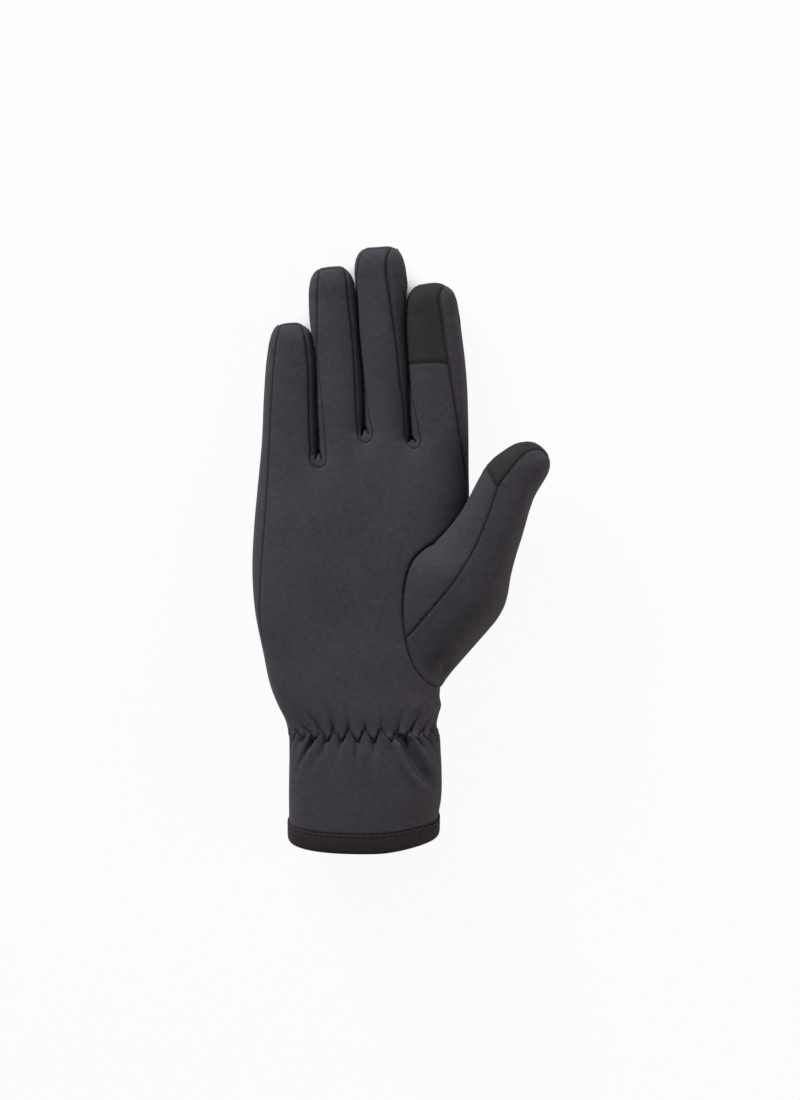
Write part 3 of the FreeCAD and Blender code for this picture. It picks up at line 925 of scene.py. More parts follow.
    def guides(self, walls: dict[Side, Array], slits: list[Array], front: bool) -> list[Array]:
        """Lines beside the seams that the sheet's edges follow, so that the seams are crisp.

        Args:
            walls: The outer walls by side.
            slits: The slits' walls.
            front: True for the palm.

        Returns:
            Polylines in plan.
        """
        column = 0 if front else -1
        lines = []
        for by in SEAM_STEPS[1:4]:
            for side, low in ((Side.LEFT, SIDE_SEAM_END - 6), (Side.RIGHT, INDEX_SEAM_END - 4)):
                path = walls[side][:, column]
                keep = (path[:, 1] > low) & (path[:, 1] < self.finger[side].start - 0.5)
                lines.append(offset(path[keep], -side.value * by))
            for number, wall in enumerate(slits):
                path = wall[:, column]
                lowest = int(path[:, 1].argmin())
                keep = np.ones(len(path), bool)
                keep[:lowest] = path[:lowest, 1] < FINGERS[number].start - 0.5
                keep[lowest:] = path[lowest:, 1] < FINGERS[number + 1].start - 0.5
                lines.append(offset(path[keep], by))
        if front:
            seam = resampled(np.array(THUMB_ROOT_SEAM), ROOT_SPACING)
            seam = seam[seam[:, 0] < self.side_lines(Side.RIGHT, seam[:, 1])[0] - 1.4]
            lines.append(seam)
            lines += [offset(seam, by) for by in (0.35, -0.35, 0.9, -0.9)]
        for y in BINDING_LINES:
            ends = [(np.interp(y, wall[:, column, 1], wall[:, column, 0]) - side.value, y)
                    for side, wall in walls.items()]
            lines.append(resampled(np.array(ends), ROOT_SPACING))
        return lines


@dataclass
class ThumbPanels:
    """The thumb: two panels and a touch pad, set into the oval seam in the palm.

    Its own plan has u across the thumb, towards its outer side, and v along it to the tip.
    """
    root: tuple[float, float] = (32.0, 96.0)
    lean: float = 28.2          # degrees out from the fingers
    # Heights of the palm side, of the free edge and of the back, and the rounding's reach, by v.
    crest: Line = (
        (-24, 27.0), (-14, 32.5), (-2, 36.0), (14, 38.0), (28, 37.8), (42, 36.6), (56, 35.0),
        (70, 33.6), (84, 32.2), (92, 31.6))
    waist: Line = (
        (-24, 17.5), (-10, 18.5), (6, 19.5), (24, 20.6), (42, 21.6), (60, 22.2), (92, 22.2))
    under: Line = (
        (-24, 8.0), (-8, 4.0), (10, 2.6), (28, 4.6), (42, 7.4), (58, 10.0), (76, 11.6), (92, 13.0))
    rounding: Line = (
        (-24, 9.0), (-8, 13.0), (10, 18.5), (30, 17.5), (45, 14.0), (60, 12.5), (78, 11.5),
        (92, 10.0))
    # The free edge, the centre seam and the pad's seam in the thumb's own plan, as (u, v).
    inner_edge: Line = (
        (-20.4, 31.4), (-18.4, 37.0), (-17.0, 42.0), (-15.9, 49.0), (-15.8, 57.0), (-15.9, 64.0),
        (-15.6, 71.0), (-14.4, 76.3), (-12.6, 80.1), (-11.1, 83.0), (-9.0, 86.1), (-6.7, 88.1),
        (-4.0, 89.7), (-1.0, 90.3), (2.0, 89.9), (4.4, 89.0), (6.6, 87.4), (8.2, 85.2),
        (9.1, 82.5), (9.3, 79.5), (9.1, 75.5), (8.9, 70.0), (9.7, 64.0), (11.0, 58.0),
        (12.3, 52.0), (13.4, 46.0), (14.7, 40.0), (16.3, 34.0), (18.4, 28.0), (19.7, 22.0),
        (19.6, 16.0), (18.5, 10.0), (17.1, 4.0), (15.7, -2.0), (14.3, -8.0), (13.0, -14.0),
        (11.9, -21.6))
    seam: Line = (
        (-13.1, -13.6), (-11.4, -10.2), (-9.6, -4.0), (-8.6, 1.0), (-7.0, 8.0), (-5.8, 14.0),
        (-4.7, 20.0), (-4.0, 26.0), (-3.65, 32.0), (-3.5, 38.0), (-3.85, 44.0), (-4.6, 50.0),
        (-5.4, 56.5), (-6.4, 61.6), (-7.1, 65.6), (-6.6, 70.6), (-5.8, 74.5), (-5.0, 79.6),
        (-3.9, 83.2), (-2.4, 86.0), (-0.2, 87.9), (2.0, 88.5), (4.2, 88.2), (6.6, 87.4))
    pad_edge: Line = ((-15.6, 71.0), (-11.4, 68.3), (-7.1, 65.6))
    rise: float = 17.0          # reach of the swell beside the oval seam
    blend: tuple[float, float] = (44.0, 72.0)   # two places along the thumb, in v, that attach works out but doesn't use
    set_in: tuple[float, float] = (26.0, 43.0)  # it is part of the palm below, and free above
    free_from: float = 31.5     # the edge is at the waist's height above this v
    power: float = 2.25         # how square its palm side is
    back_power: float = 2.5
    back_narrow: float = 0.9    # reach of the back's rounding, as a share of the palm side's
    spacing: float = 1.15       # of the points on the palm side
    back_spacing: float = 1.6
    seam_spacing: float = 0.8
    edge_rows: tuple[float, ...] = (0.12, 0.5, 1.1, 2.0, 3.1)   # mesh lines in from its edge

    def __post_init__(self) -> None:
        """Sets up the thumb's directions, tracks and edges."""
        angle = math.radians(self.lean)
        self.across = np.array([math.cos(angle), -math.sin(angle)])
        self.along = np.array([math.sin(angle), math.cos(angle)])
        self.crest_at, self.waist_at, self.under_at, self.half_width = (
            Track(line) for line in (self.crest, self.waist, self.under, self.rounding))
        self.oval = resampled(np.array([self.local(p) for p in THUMB_ROOT_SEAM]), ROOT_SPACING)
        self.free = resampled(np.array(self.inner_edge), ROOT_SPACING)
        self.seam_line, self.pad_line = (resampled(np.array(line), self.seam_spacing)
                                         for line in (self.seam, self.pad_edge))
        self.turn = int(self.free[:, 1].argmax())

    def local(self, point: tuple[float, float]) -> Array:
        """A point of the hand's plan in the thumb's own plan."""
        from_root = np.asarray(point, float) - self.root
        return np.stack([from_root @ self.across, from_root @ self.along], -1)

    def world(self, plan: Array) -> Array:
        """Points of the thumb's plan in the hand's plan."""
        return np.asarray(self.root) + plan[:, :1] * self.across + plan[:, 1:2] * self.along

    def top(self, form: HandForm, plan: Array) -> Array:
        """Height of the palm side.

        Args:
            form: The hand's heights.
            plan: Points in the thumb's plan.

        Returns:
            Heights over the table.
        """
        u, v = plan.T
        crest, waist, reach = self.crest_at(v), self.waist_at(v), self.half_width(v)
        free = distance_to(self.free[self.turn - 3:], u, v)
        swell = waist + (crest - waist) * dome(free / reach, self.power)
        inner_line = np.vstack([self.oval, self.free[1:self.turn + 4]])
        inner = distance_to(inner_line, u, v)
        set_in = ease(self.set_in[1], self.set_in[0], v)
        soft = np.clip(inner / self.rise, 0, 1)
        soft = np.maximum(soft * (2 - soft), ease(0.0, 1.0, inner / (inner + free + 1e-6)))
        share = dome(inner / reach, self.power) * (1 - set_in) + soft * set_in
        hand = self.world(plan)
        foot = waist * (1 - set_in) + form.front(hand[:, 0], hand[:, 1]) * set_in
        return foot + (swell - foot) * share

    def bottom(self, plan: Array) -> Array:
        """Height of the back side.

        Args:
            plan: Points in the thumb's plan.

        Returns:
            Heights.
        """
        u, v = plan.T
        waist, under = self.waist_at(v), self.under_at(v)
        reach = self.half_width(v) * self.back_narrow
        return waist + (under - waist) * dome(distance_to(self.free, u, v) / reach,
                                              self.back_power)

    def panels(self, form: HandForm) -> list[Patch]:
        """The thumb's patches, its edge lying on the palm along the oval seam.

        Args:
            form: The hand's heights.

        Returns:
            Patches for the inner panel, the outer panel, the pad and the back.
        """
        loop = np.vstack([self.oval, self.free[1:-1]])[::-1]
        seam, pad = self.seam_line, self.pad_line
        rings = [offset(self.free[2:-2], by) for by in self.edge_rows]
        lines = [seam[1:-1], pad[1:-1], offset(self.oval[2:-2], 0.4), offset(self.oval[2:-2], 1.0)]
        lines += [offset(seam[2:-3], by) for by in (0.32, -0.32, 0.8, -0.8)]
        lines += [offset(pad[2:-2], by) for by in (0.35, -0.35)]
        plan, faces = meshed(loop, lines + rings[:3], self.spacing)
        height = self.top(form, plan)
        edge = distance_to(self.free, *plan.T) < 1e-3
        edge &= plan[:, 1] > self.free_from
        height[edge] = self.waist_at(plan[edge, 1])
        points = np.column_stack([self.world(plan), height])
        middles = np.array([plan[list(f)].mean(0) for f in faces])
        # The inner panel is left of the centre seam, and the pad is the part above its own seam.
        inner = inside(np.vstack([seam, [[30, 100], [-40, 100], [-40, -10.4]]]), middles)
        above_pad = inside(np.vstack([pad, [[30, pad[-1, 1]], [30, 110], [-40, 110],
                                            [-40, pad[0, 1]]]]), middles)
        made = []
        for piece, finish, keep in (
                ("thumb_inner_panel", Finish.SOFTSHELL, inner & ~above_pad),
                ("thumb_pad_panel", Finish.TOUCH, inner & above_pad),
                ("thumb_outer_panel", Finish.SOFTSHELL, ~inner)):
            made.append(Patch(piece, finish, "thumb", points,
                              [f for f, k in zip(faces, keep) if k]))
        # The back panel's lower edge runs on inside the hand, where nothing shows of it.
        under_loop = np.vstack([self.free, [[6.0, -16.0], [-8.0, 2.0], [-16.0, 18.0]]])[::-1]
        plan, faces = meshed(under_loop, rings[:4], self.back_spacing)
        height = self.bottom(plan)
        edge = distance_to(self.free, *plan.T) < 1e-3
        height[edge] = self.waist_at(plan[edge, 1])
        points = np.column_stack([self.world(plan), height])
        made.append(Patch("thumb_outer_panel", Finish.SOFTSHELL, "thumb", points,
                          [f[::-1] for f in faces]))
        return made


@dataclass
class SeamLine:
    """A sewn line over the skin: its path, and how deep and how puckered it pulls the fabric."""
    path: Array
    depth: float = 0.42
    width: float = 0.5
    pucker: float = 0.10
    fade: tuple[float, float] | None = None     # Y over which the seam comes in, from nothing

    def strength(self) -> Array:
        """How much of the seam shows at each of the path's points."""
        if self.fade is None:
            return np.ones(len(self.path))
        return ease(self.fade[0], self.fade[1], self.path[:, 1])


WELDS = 500                 # points closer than this share of a millimetre become one
PUCKER_WAVES = ((1.0, 2.1, 1.0), (0.7, 3.3, 2.1), (0.6, 1.13, 4.0))    # size, rate, turn
PUCKER_REACH = 2.4          # how far the puckers run from a seam
SWELL = (0.10, 1.5, 0.9)    # the fabric's rise beside a seam: its height, place and reach
PAINTED_SHADE_REACH = 0.42           # reach of the painted shade beside a seam
MISSED = 2.5                # a run of stitches stops where its path jumps further than this


class Skin:
    """All panels joined into one fabric surface, so that it shades without a break."""

    def __init__(self, patches: list[Patch]) -> None:
        """Joins the panels.

        Args:
            patches: The panels, whose shared edges have the same points.
        """
        self.patches = patches
        points = np.vstack([p.points for p in patches])
        keys = np.round(points * WELDS).astype(np.int64)
        _, first, self.joined = np.unique(keys, axis=0, return_index=True, return_inverse=True)
        self.joined = self.joined.ravel()
        self.points = points[first]
        self.faces, start = [], 0
        for patch in patches:
            index = self.joined[start:start + len(patch.points)]
            start += len(patch.points)
            faces = [tuple(dict.fromkeys(index[list(f)].tolist())) for f in patch.faces]
            self.faces.append([f for f in faces if len(f) > 2])
        triangles = [(f[0], f[i], f[i + 1]) for faces in self.faces for f in faces
                     for i in range(1, len(f) - 1)]
        self.triangles = np.array(triangles)
        # How much painted shade darkens the colour at each point, from 0 to 1.
        self.seam_shade = np.zeros(len(self.points))
        self.normals = self.facing()
        self.bodies = np.full(len(self.points), patches[0].body, dtype="<U16")
        for patch, faces in zip(patches, self.faces):
            if patch.body != HAND:
                self.bodies[np.unique(np.concatenate([np.array(f) for f in faces]))] = patch.body

    def facing(self) -> Array:
        """Outward directions at the points, weighted by the faces round them.

        Returns:
            Unit vectors.
        """
        a, b, c = (self.points[self.triangles[:, k]] for k in range(3))
        across = np.cross(b - a, c - a)
        total = np.zeros_like(self.points)
        for k in range(3):
            np.add.at(total, self.triangles[:, k], across)
        return total / np.maximum(np.linalg.norm(total, axis=1), 1e-12)[:, None]

    def push(self, distance: Array) -> None:
        """Moves each point outwards by its distance in millimetres."""
        self.points = self.points + self.normals * np.asarray(distance)[:, None]
        self.normals = self.facing()

    def sew(self, seams: list[SeamLine]) -> None:
        """Pulls the fabric in along the seams, with puckers that run away from them, and paints
        shade into the fabric's colour along them.

        Args:
            seams: The sewn lines.
        """
        pull = np.zeros(len(self.points))
        for number, seam in enumerate(seams):
            path, strength = seam.path, seam.strength()
            low, high = path.min(0) - 5, path.max(0) + 5
            near = np.flatnonzero(((self.points > low) & (self.points < high)).all(1))
            if not len(near):
                continue
            p = self.points[near]
            best, at, strong = np.full(len(near), 1e9), np.zeros(len(near)), np.zeros(len(near))
            walked = 0.0
            for i, (a, b) in enumerate(zip(path[:-1], path[1:])):
                along = b - a
                size = float(np.linalg.norm(along))
                t = np.clip(((p - a) @ along) / max(size * size, 1e-12), 0, 1)
                gap = np.linalg.norm(p - a - t[:, None] * along, axis=1)
                closer = gap < best
                best[closer] = gap[closer]
                at[closer] = walked + t[closer] * size
                strong[closer] = (strength[i] * (1 - t) + strength[i + 1] * t)[closer]
                walked += size
            groove = np.exp(-(best / seam.width) ** 2)
            rise, place, wide = SWELL
            swell = rise * np.exp(-((best - place) / wide) ** 2)
            wave = sum(size * np.sin(at * rate + turn * number)
                       for size, rate, turn in PUCKER_WAVES)
            reach = np.exp(-(best / PUCKER_REACH) ** 2) * (1 - groove)
            amount = strong * (-seam.depth * groove + swell + seam.pucker * wave * reach)
            stronger = np.abs(amount) > np.abs(pull[near])
            pull[near] = np.where(stronger, amount, pull[near])
            # Painted shade along the seam's groove, where shade falls: the fabric's colour darkens
            # there.
            dark = strong * np.exp(-(best / PAINTED_SHADE_REACH) ** 2)
            self.seam_shade[near] = np.maximum(self.seam_shade[near], dark)
        self.push(pull)

    def lay(self, paths: list[Array], lift: float) -> dict[str, list[Array]]:
        """Lays paths on the fabric as it now is.

        Args:
            paths: Polylines near the surface.
            lift: How far over the surface to lay them.

        Returns:
            Runs of the paths by the body whose fabric they lie on.
        """
        tree = kdtree.KDTree(len(self.points))
        for i, point in enumerate(self.points.tolist()):
            tree.insert(point, i)
        tree.balance()
        laid: dict[str, list[Array]] = {}
        for path in paths:
            near = np.array([tree.find(p)[1] for p in path.tolist()])
            out = self.normals[near]
            drop = ((self.points[near] - path) * out).sum(1) + lift
            moved = path + out * drop[:, None]
            bodies = self.bodies[near]
            apart = np.linalg.norm(np.diff(path, axis=0), axis=1) > MISSED
            cuts = [0, *(np.flatnonzero((bodies[1:] != bodies[:-1]) | apart) + 1), len(path)]
            for a, b in zip(cuts[:-1], cuts[1:]):
                if b - a > 2:
                    laid.setdefault(str(bodies[a]), []).append(moved[a:b])
        return laid

    def pieces(self) -> list[tuple[str, Finish, str, bpy.types.Object]]:
        """Makes one object for each piece.

        Returns:
            Each piece's name, finish, body and object.
        """
        named: dict[str, list[int]] = {}
        for number, patch in enumerate(self.patches):
            named.setdefault(patch.piece, []).append(number)
        made = []
        for name, numbers in named.items():
            faces = [f for n in numbers for f in self.faces[n]]
            used = np.unique(np.concatenate([np.array(f) for f in faces]))
            place = np.full(len(self.points), -1)
            place[used] = np.arange(len(used))
            mesh = smooth_mesh(name, self.points[used],
                               [[int(place[i]) for i in f] for f in faces])
            # Each piece carries its painted shade as a point attribute, which darkens its colour
            # in the material.
            shade = mesh.attributes.new("seam_shade", "FLOAT", "POINT")
            shade.data.foreach_set("value", self.seam_shade[used].astype(np.float32))
            mesh.normals_split_custom_set_from_vertices(self.normals[used].tolist())
            mesh.update()
            first = self.patches[numbers[0]]
            made.append((name, first.finish, first.body, linked(name, mesh)))
        return made


def placed(points: Array) -> Array:
    """Points of the hand's forms in the frame's place, in metres."""
    return (np.asarray(points, float) + np.array([*HEM_ORIGIN, 0.0])) * MM


def linked(name: str, data: bpy.types.ID) -> bpy.types.Object:
    """Puts a new object in the scene.

    Args:
        name: Its name.
        data: Its mesh, lamp or camera.

    Returns:
        The object.
    """
    made = bpy.data.objects.new(name, data)
    bpy.context.scene.collection.objects.link(made)
    return made


def smooth_mesh(name: str, points: Array, faces: list) -> bpy.types.Mesh:
    """Makes a smooth mesh.

    Args:
        name: Its name.
        points: Its points, as points of the hand's forms.
        faces: Its faces.

    Returns:
        The mesh.
    """
    mesh = bpy.data.meshes.new(name)
    mesh.from_pydata(placed(points).tolist(), [], faces)
    mesh.polygons.foreach_set("use_smooth", [True] * len(mesh.polygons))
    return mesh


def section(form: HandForm, y: float, count: int = 300) -> tuple[Array, Array]:
    """The cuff's closed outline at Y, from the thumb side over the palm and back underneath.

    Args:
        form: The hand's form.
        y: Where to cut it.
        count: Points round the outline, evenly spaced.

    Returns:
        Points as (x, z), and their outward directions.
    """
    low, high = float(form.left(y)), float(form.right(y))
    angle = np.linspace(0, 2 * math.pi, 900)
    x = (low + high) / 2 + (high - low) / 2 * np.cos(angle)
    z = np.where(angle <= math.pi, form.front(x, y), form.back(x, y))
    z[[0, -1]] = form.side(y)
    run = lengths(np.column_stack([x, z]))
    wanted = np.linspace(0, run[-1], count, endpoint=False)
    ring = np.column_stack([np.interp(wanted, run, x), np.interp(wanted, run, z)])
    ring = (np.roll(ring, 1, 0) + 2 * ring + np.roll(ring, -1, 0)) / 4
    along = np.roll(ring, -1, 0) - np.roll(ring, 1, 0)
    out = np.column_stack([along[:, 1], -along[:, 0]])
    return ring, out / np.linalg.norm(out, axis=1)[:, None]


@dataclass
class Gathers:
    """The zigzag seam that holds the wrist's elastic, and the folds that it draws up."""
    y: float = 51.2
    reach: float = 2.5              # of the zigzag, above and below its middle
    spacing: float = 6.2            # between peaks where the palm doesn't give them
    peaks_x: tuple[float, ...] = (29.0, 24.3, 19.1, 13.9, 7.3, 0.2, -6.7, -13.0, -18.7, -24.2)
    height: float = 2.5             # of a fold, from crease to ridge
    long_fold: Line = (
        (14.6, 51.5), (17.3, 48.0), (20.0, 42.0), (23.0, 35.9), (26.5, 31.1), (29.8, 26.4))
    long_depth: float = 3.9
    long_width: float = 2.1         # of its hollow
    ridge: tuple[float, float, float] = (0.40, 4.6, 2.2)    # beside it: height, place, width
    above: tuple[float, float] = (5.6, 5)       # length of the folds, and how it varies round
    below: tuple[float, float] = (7.5, 7)
    sewn_width: float = 1.0         # of the sewn line, and how deep it presses in
    sewn_depth: float = 0.7
    level: float = 0.58             # where on a fold the plain form lies, as a share of it
    side_flatter: float = 0.62      # how much flatter the folds are at the sides, as a share
    drawn_in: float = 1.1           # how far the elastic draws in the palm side
    cuff_swell: float = 0.5         # and how far the cuff swells out below it

    def __post_init__(self) -> None:
        """Measures the ring of the wrist and marks the zigzag's peaks on it."""
        ring, _ = section(HandForm(), self.y, 720)
        ring = np.vstack([ring, ring[:1]])
        self.ring, self.run = ring, lengths(ring)
        self.middle = float(ring[0, 1])
        self.angle = np.unwrap(np.arctan2(ring[:, 1] - self.middle, ring[:, 0]))
        palm = slice(0, int(ring[:, 0].argmin()) + 1)
        given = np.interp(-np.array(self.peaks_x), -ring[palm, 0], self.run[palm])
        rest = self.run[-1] - (given[-1] - given[0])
        more = int(round(rest / self.spacing))
        self.marks = np.concatenate([given, given[-1] + rest * np.arange(1, more + 1) / more])
        self.count = len(self.marks) - 1

    def zigzag(self, x: Array, y: Array, z: Array) -> tuple[Array, Array]:
        """Where points lie round the zigzag.

        Args:
            x, y, z: The points.

        Returns:
            How many peaks lie before them, and how far above it they are.
        """
        above, below = np.clip(y - self.y, 0, 12), np.clip(self.y - y, 0, 20)
        fan = 1 + above * (0.008 + 9e-5 * x * x) + below * (0.006 + 6e-5 * x * x)
        angle = np.arctan2(z - self.middle, x / fan) % (2 * math.pi)
        run = np.interp(angle, self.angle, self.run)
        run = self.marks[0] + (run - self.marks[0]) % self.run[-1]
        phase = np.interp(run, self.marks, np.arange(self.count + 1))
        return phase, y - self.y - self.reach * (4 * np.abs(phase % 1 - 0.5) - 1)

    def lift(self, points: Array) -> tuple[Array, Array]:
        """How far the fabric stands out round the wrist.

        Args:
            points: The skin's points.

        Returns:
            Millimetres outwards, and how much painted shade darkens the sewn line, from 0 to 1.
        """
        x, y, z = points.T
        phase, away = self.zigzag(x, y, z)
        far = np.abs(away)
        turn = phase * 2 * math.pi / self.count
        crisp = 0.72 + 0.11 * np.minimum(far, 10)
        lift = np.zeros(len(points))
        upper = ease(-0.7, 0.7, away)
        for share, wave, (reach, rate) in (
                (upper, np.sin(math.pi * phase), self.above),
                (1 - upper, np.cos(math.pi * phase), self.below)):
            # The folds' height and length vary round the wrist.
            size = 1 + 0.22 * np.sin(rate * turn + 0.6) + 0.2 * np.sin((rate + 6) * turn + 2.0)
            reach = reach * (1 + 0.26 * np.sin((rate + 3) * turn + 2.4)
                             + 0.2 * np.sin((rate + 10) * turn))
            lift += (share * size * (np.abs(wave) ** crisp - self.level)
                     * np.exp(-(far / reach) ** 1.5))
        lift *= self.height * (1 - self.side_flatter * ease(23.0, 32.0, np.abs(x)))
        palm = np.clip(1 - (x / 34.0) ** 4, 0, 1)
        lift -= self.drawn_in * palm * np.exp(-((y - self.y) / 5.0) ** 2)
        lift += self.cuff_swell * palm * np.exp(-((y - self.y + 14.0) / 7.0) ** 2)
        sewn = np.exp(-(far / self.sewn_width) ** 2) * (np.abs(y - self.y) < self.reach + 1.5)
        lift -= self.sewn_depth * sewn
        crease = distance_to(np.array(self.long_fold), x, y)
        held = (ease(24.0, 40.0, y) * ease(52.5, 50.0, y) * (z > self.middle + 6))
        share, place, wide = self.ridge
        lift += held * self.long_depth * (share * np.exp(-((crease - place) / wide) ** 2)
                                          - np.exp(-(crease / self.long_width) ** 2))
        # The sewn line's painted shade, sharper than its groove.
        return lift, sewn ** 3

    def path(self) -> list[Array]:
        """The zigzag's straight legs.

        Returns:
            Polylines on the plain form.
        """
        half = np.arange(0, self.count + 0.01, 0.5)
        run = np.interp(half, np.arange(self.count + 1), self.marks) % self.run[-1]
        corner = np.column_stack([np.interp(run, self.run, self.ring[:, 0]),
                                  np.where(half % 1 < 0.25, self.y + self.reach,
                                           self.y - self.reach),
                                  np.interp(run, self.run, self.ring[:, 1])])
        return [a + (b - a) * np.linspace(0.06, 0.94, 9)[:, None]
                for a, b in zip(corner[:-1], corner[1:])]


@dataclass
class Band:
    """A closed band round the cuff: its cross-section is carried round the outline."""
    piece: str
    finish: Finish
    profile: Line           # (y, distance out from the cuff's surface)
    closed: bool = True     # whether the cross-section runs back to its start
    inward: bool = False    # whether its face looks into the cuff

    def build(self, form: HandForm) -> bpy.types.Object:
        """Makes the band's object.

        Args:
            form: The hand's form.

        Returns:
            The object.
        """
        rows = []
        for y, out in self.profile:
            ring, away = section(form, y)
            place = ring + away * out
            rows.append(np.column_stack([place[:, 0], np.full(len(place), y), place[:, 1]]))
        count, wide = len(rows), len(rows[0])
        faces = []
        for i in range(count if self.closed else count - 1):
            here, then = i * wide, (i + 1) % count * wide
            for k in range(wide):
                after = (k + 1) % wide
                face = (here + k, here + after, then + after, then + k)
                faces.append(face if self.inward else face[::-1])
        return linked(self.piece, smooth_mesh(self.piece, hem_tilted(np.vstack(rows)), faces))


BINDING = Band("hem_binding", Finish.BINDING, (
    (7.7, -0.15), (7.85, 0.12), (7.85, 0.42), (7.65, 0.66), (7.35, 0.76), (7.05, 0.7),
    (6.8, 0.58), (6.55, 0.52), (6.3, 0.58), (6.0, 0.7), (5.2, 0.79), (4.0, 0.80), (2.8, 0.80),
    (1.5, 0.78), (0.6, 0.66), (0.0, 0.38), (-0.3, 0.0), (-0.4, -0.5), (-0.2, -1.0),
    (0.3, -1.4), (1.2, -1.6), (4.0, -1.62), (7.0, -1.6), (7.5, -1.5), (7.6, -1.2), (7.6, -0.6)))
LINING = Band("cuff_lining", Finish.SOFTSHELL, (
    (2.0, -1.15), (8.0, -1.15), (14.0, -1.2), (22.0, -1.2), (30.0, -1.3), (36.0, -1.9),
    (41.0, -2.8), (45.0, -3.4), (51.0, -3.6), (57.0, -3.4), (61.0, -2.8), (66.0, -1.9),
    (72.0, -1.4), (80.0, -1.3), (90.0, -1.3), (100.0, -1.3), (110.0, -2.0), (118.0, -4.5),
    (122.0, -7.5)), closed=False, inward=True)
ELASTIC = Band("wrist_elastic_tape", Finish.ELASTIC, (
    (46.9, -3.5), (46.7, -3.9), (46.9, -4.5), (47.6, -4.7), (51.2, -4.75), (54.8, -4.7),
    (55.5, -4.5), (55.7, -3.9), (55.5, -3.5), (51.2, -3.5)))
COVERED = 2.4               # how far the palm lies back under the thumb
WEB_DEPTH = 0.5             # how far a web lies back
NOTCH_RISE = 0.45           # and how far the fold in its notch stands out again
WEB_PAINTED_SHADE = 0.45            # painted shade in a web, for each millimetre that it lies back
STITCHED = 0.6              # share of a seam's full strength at which its stitches start


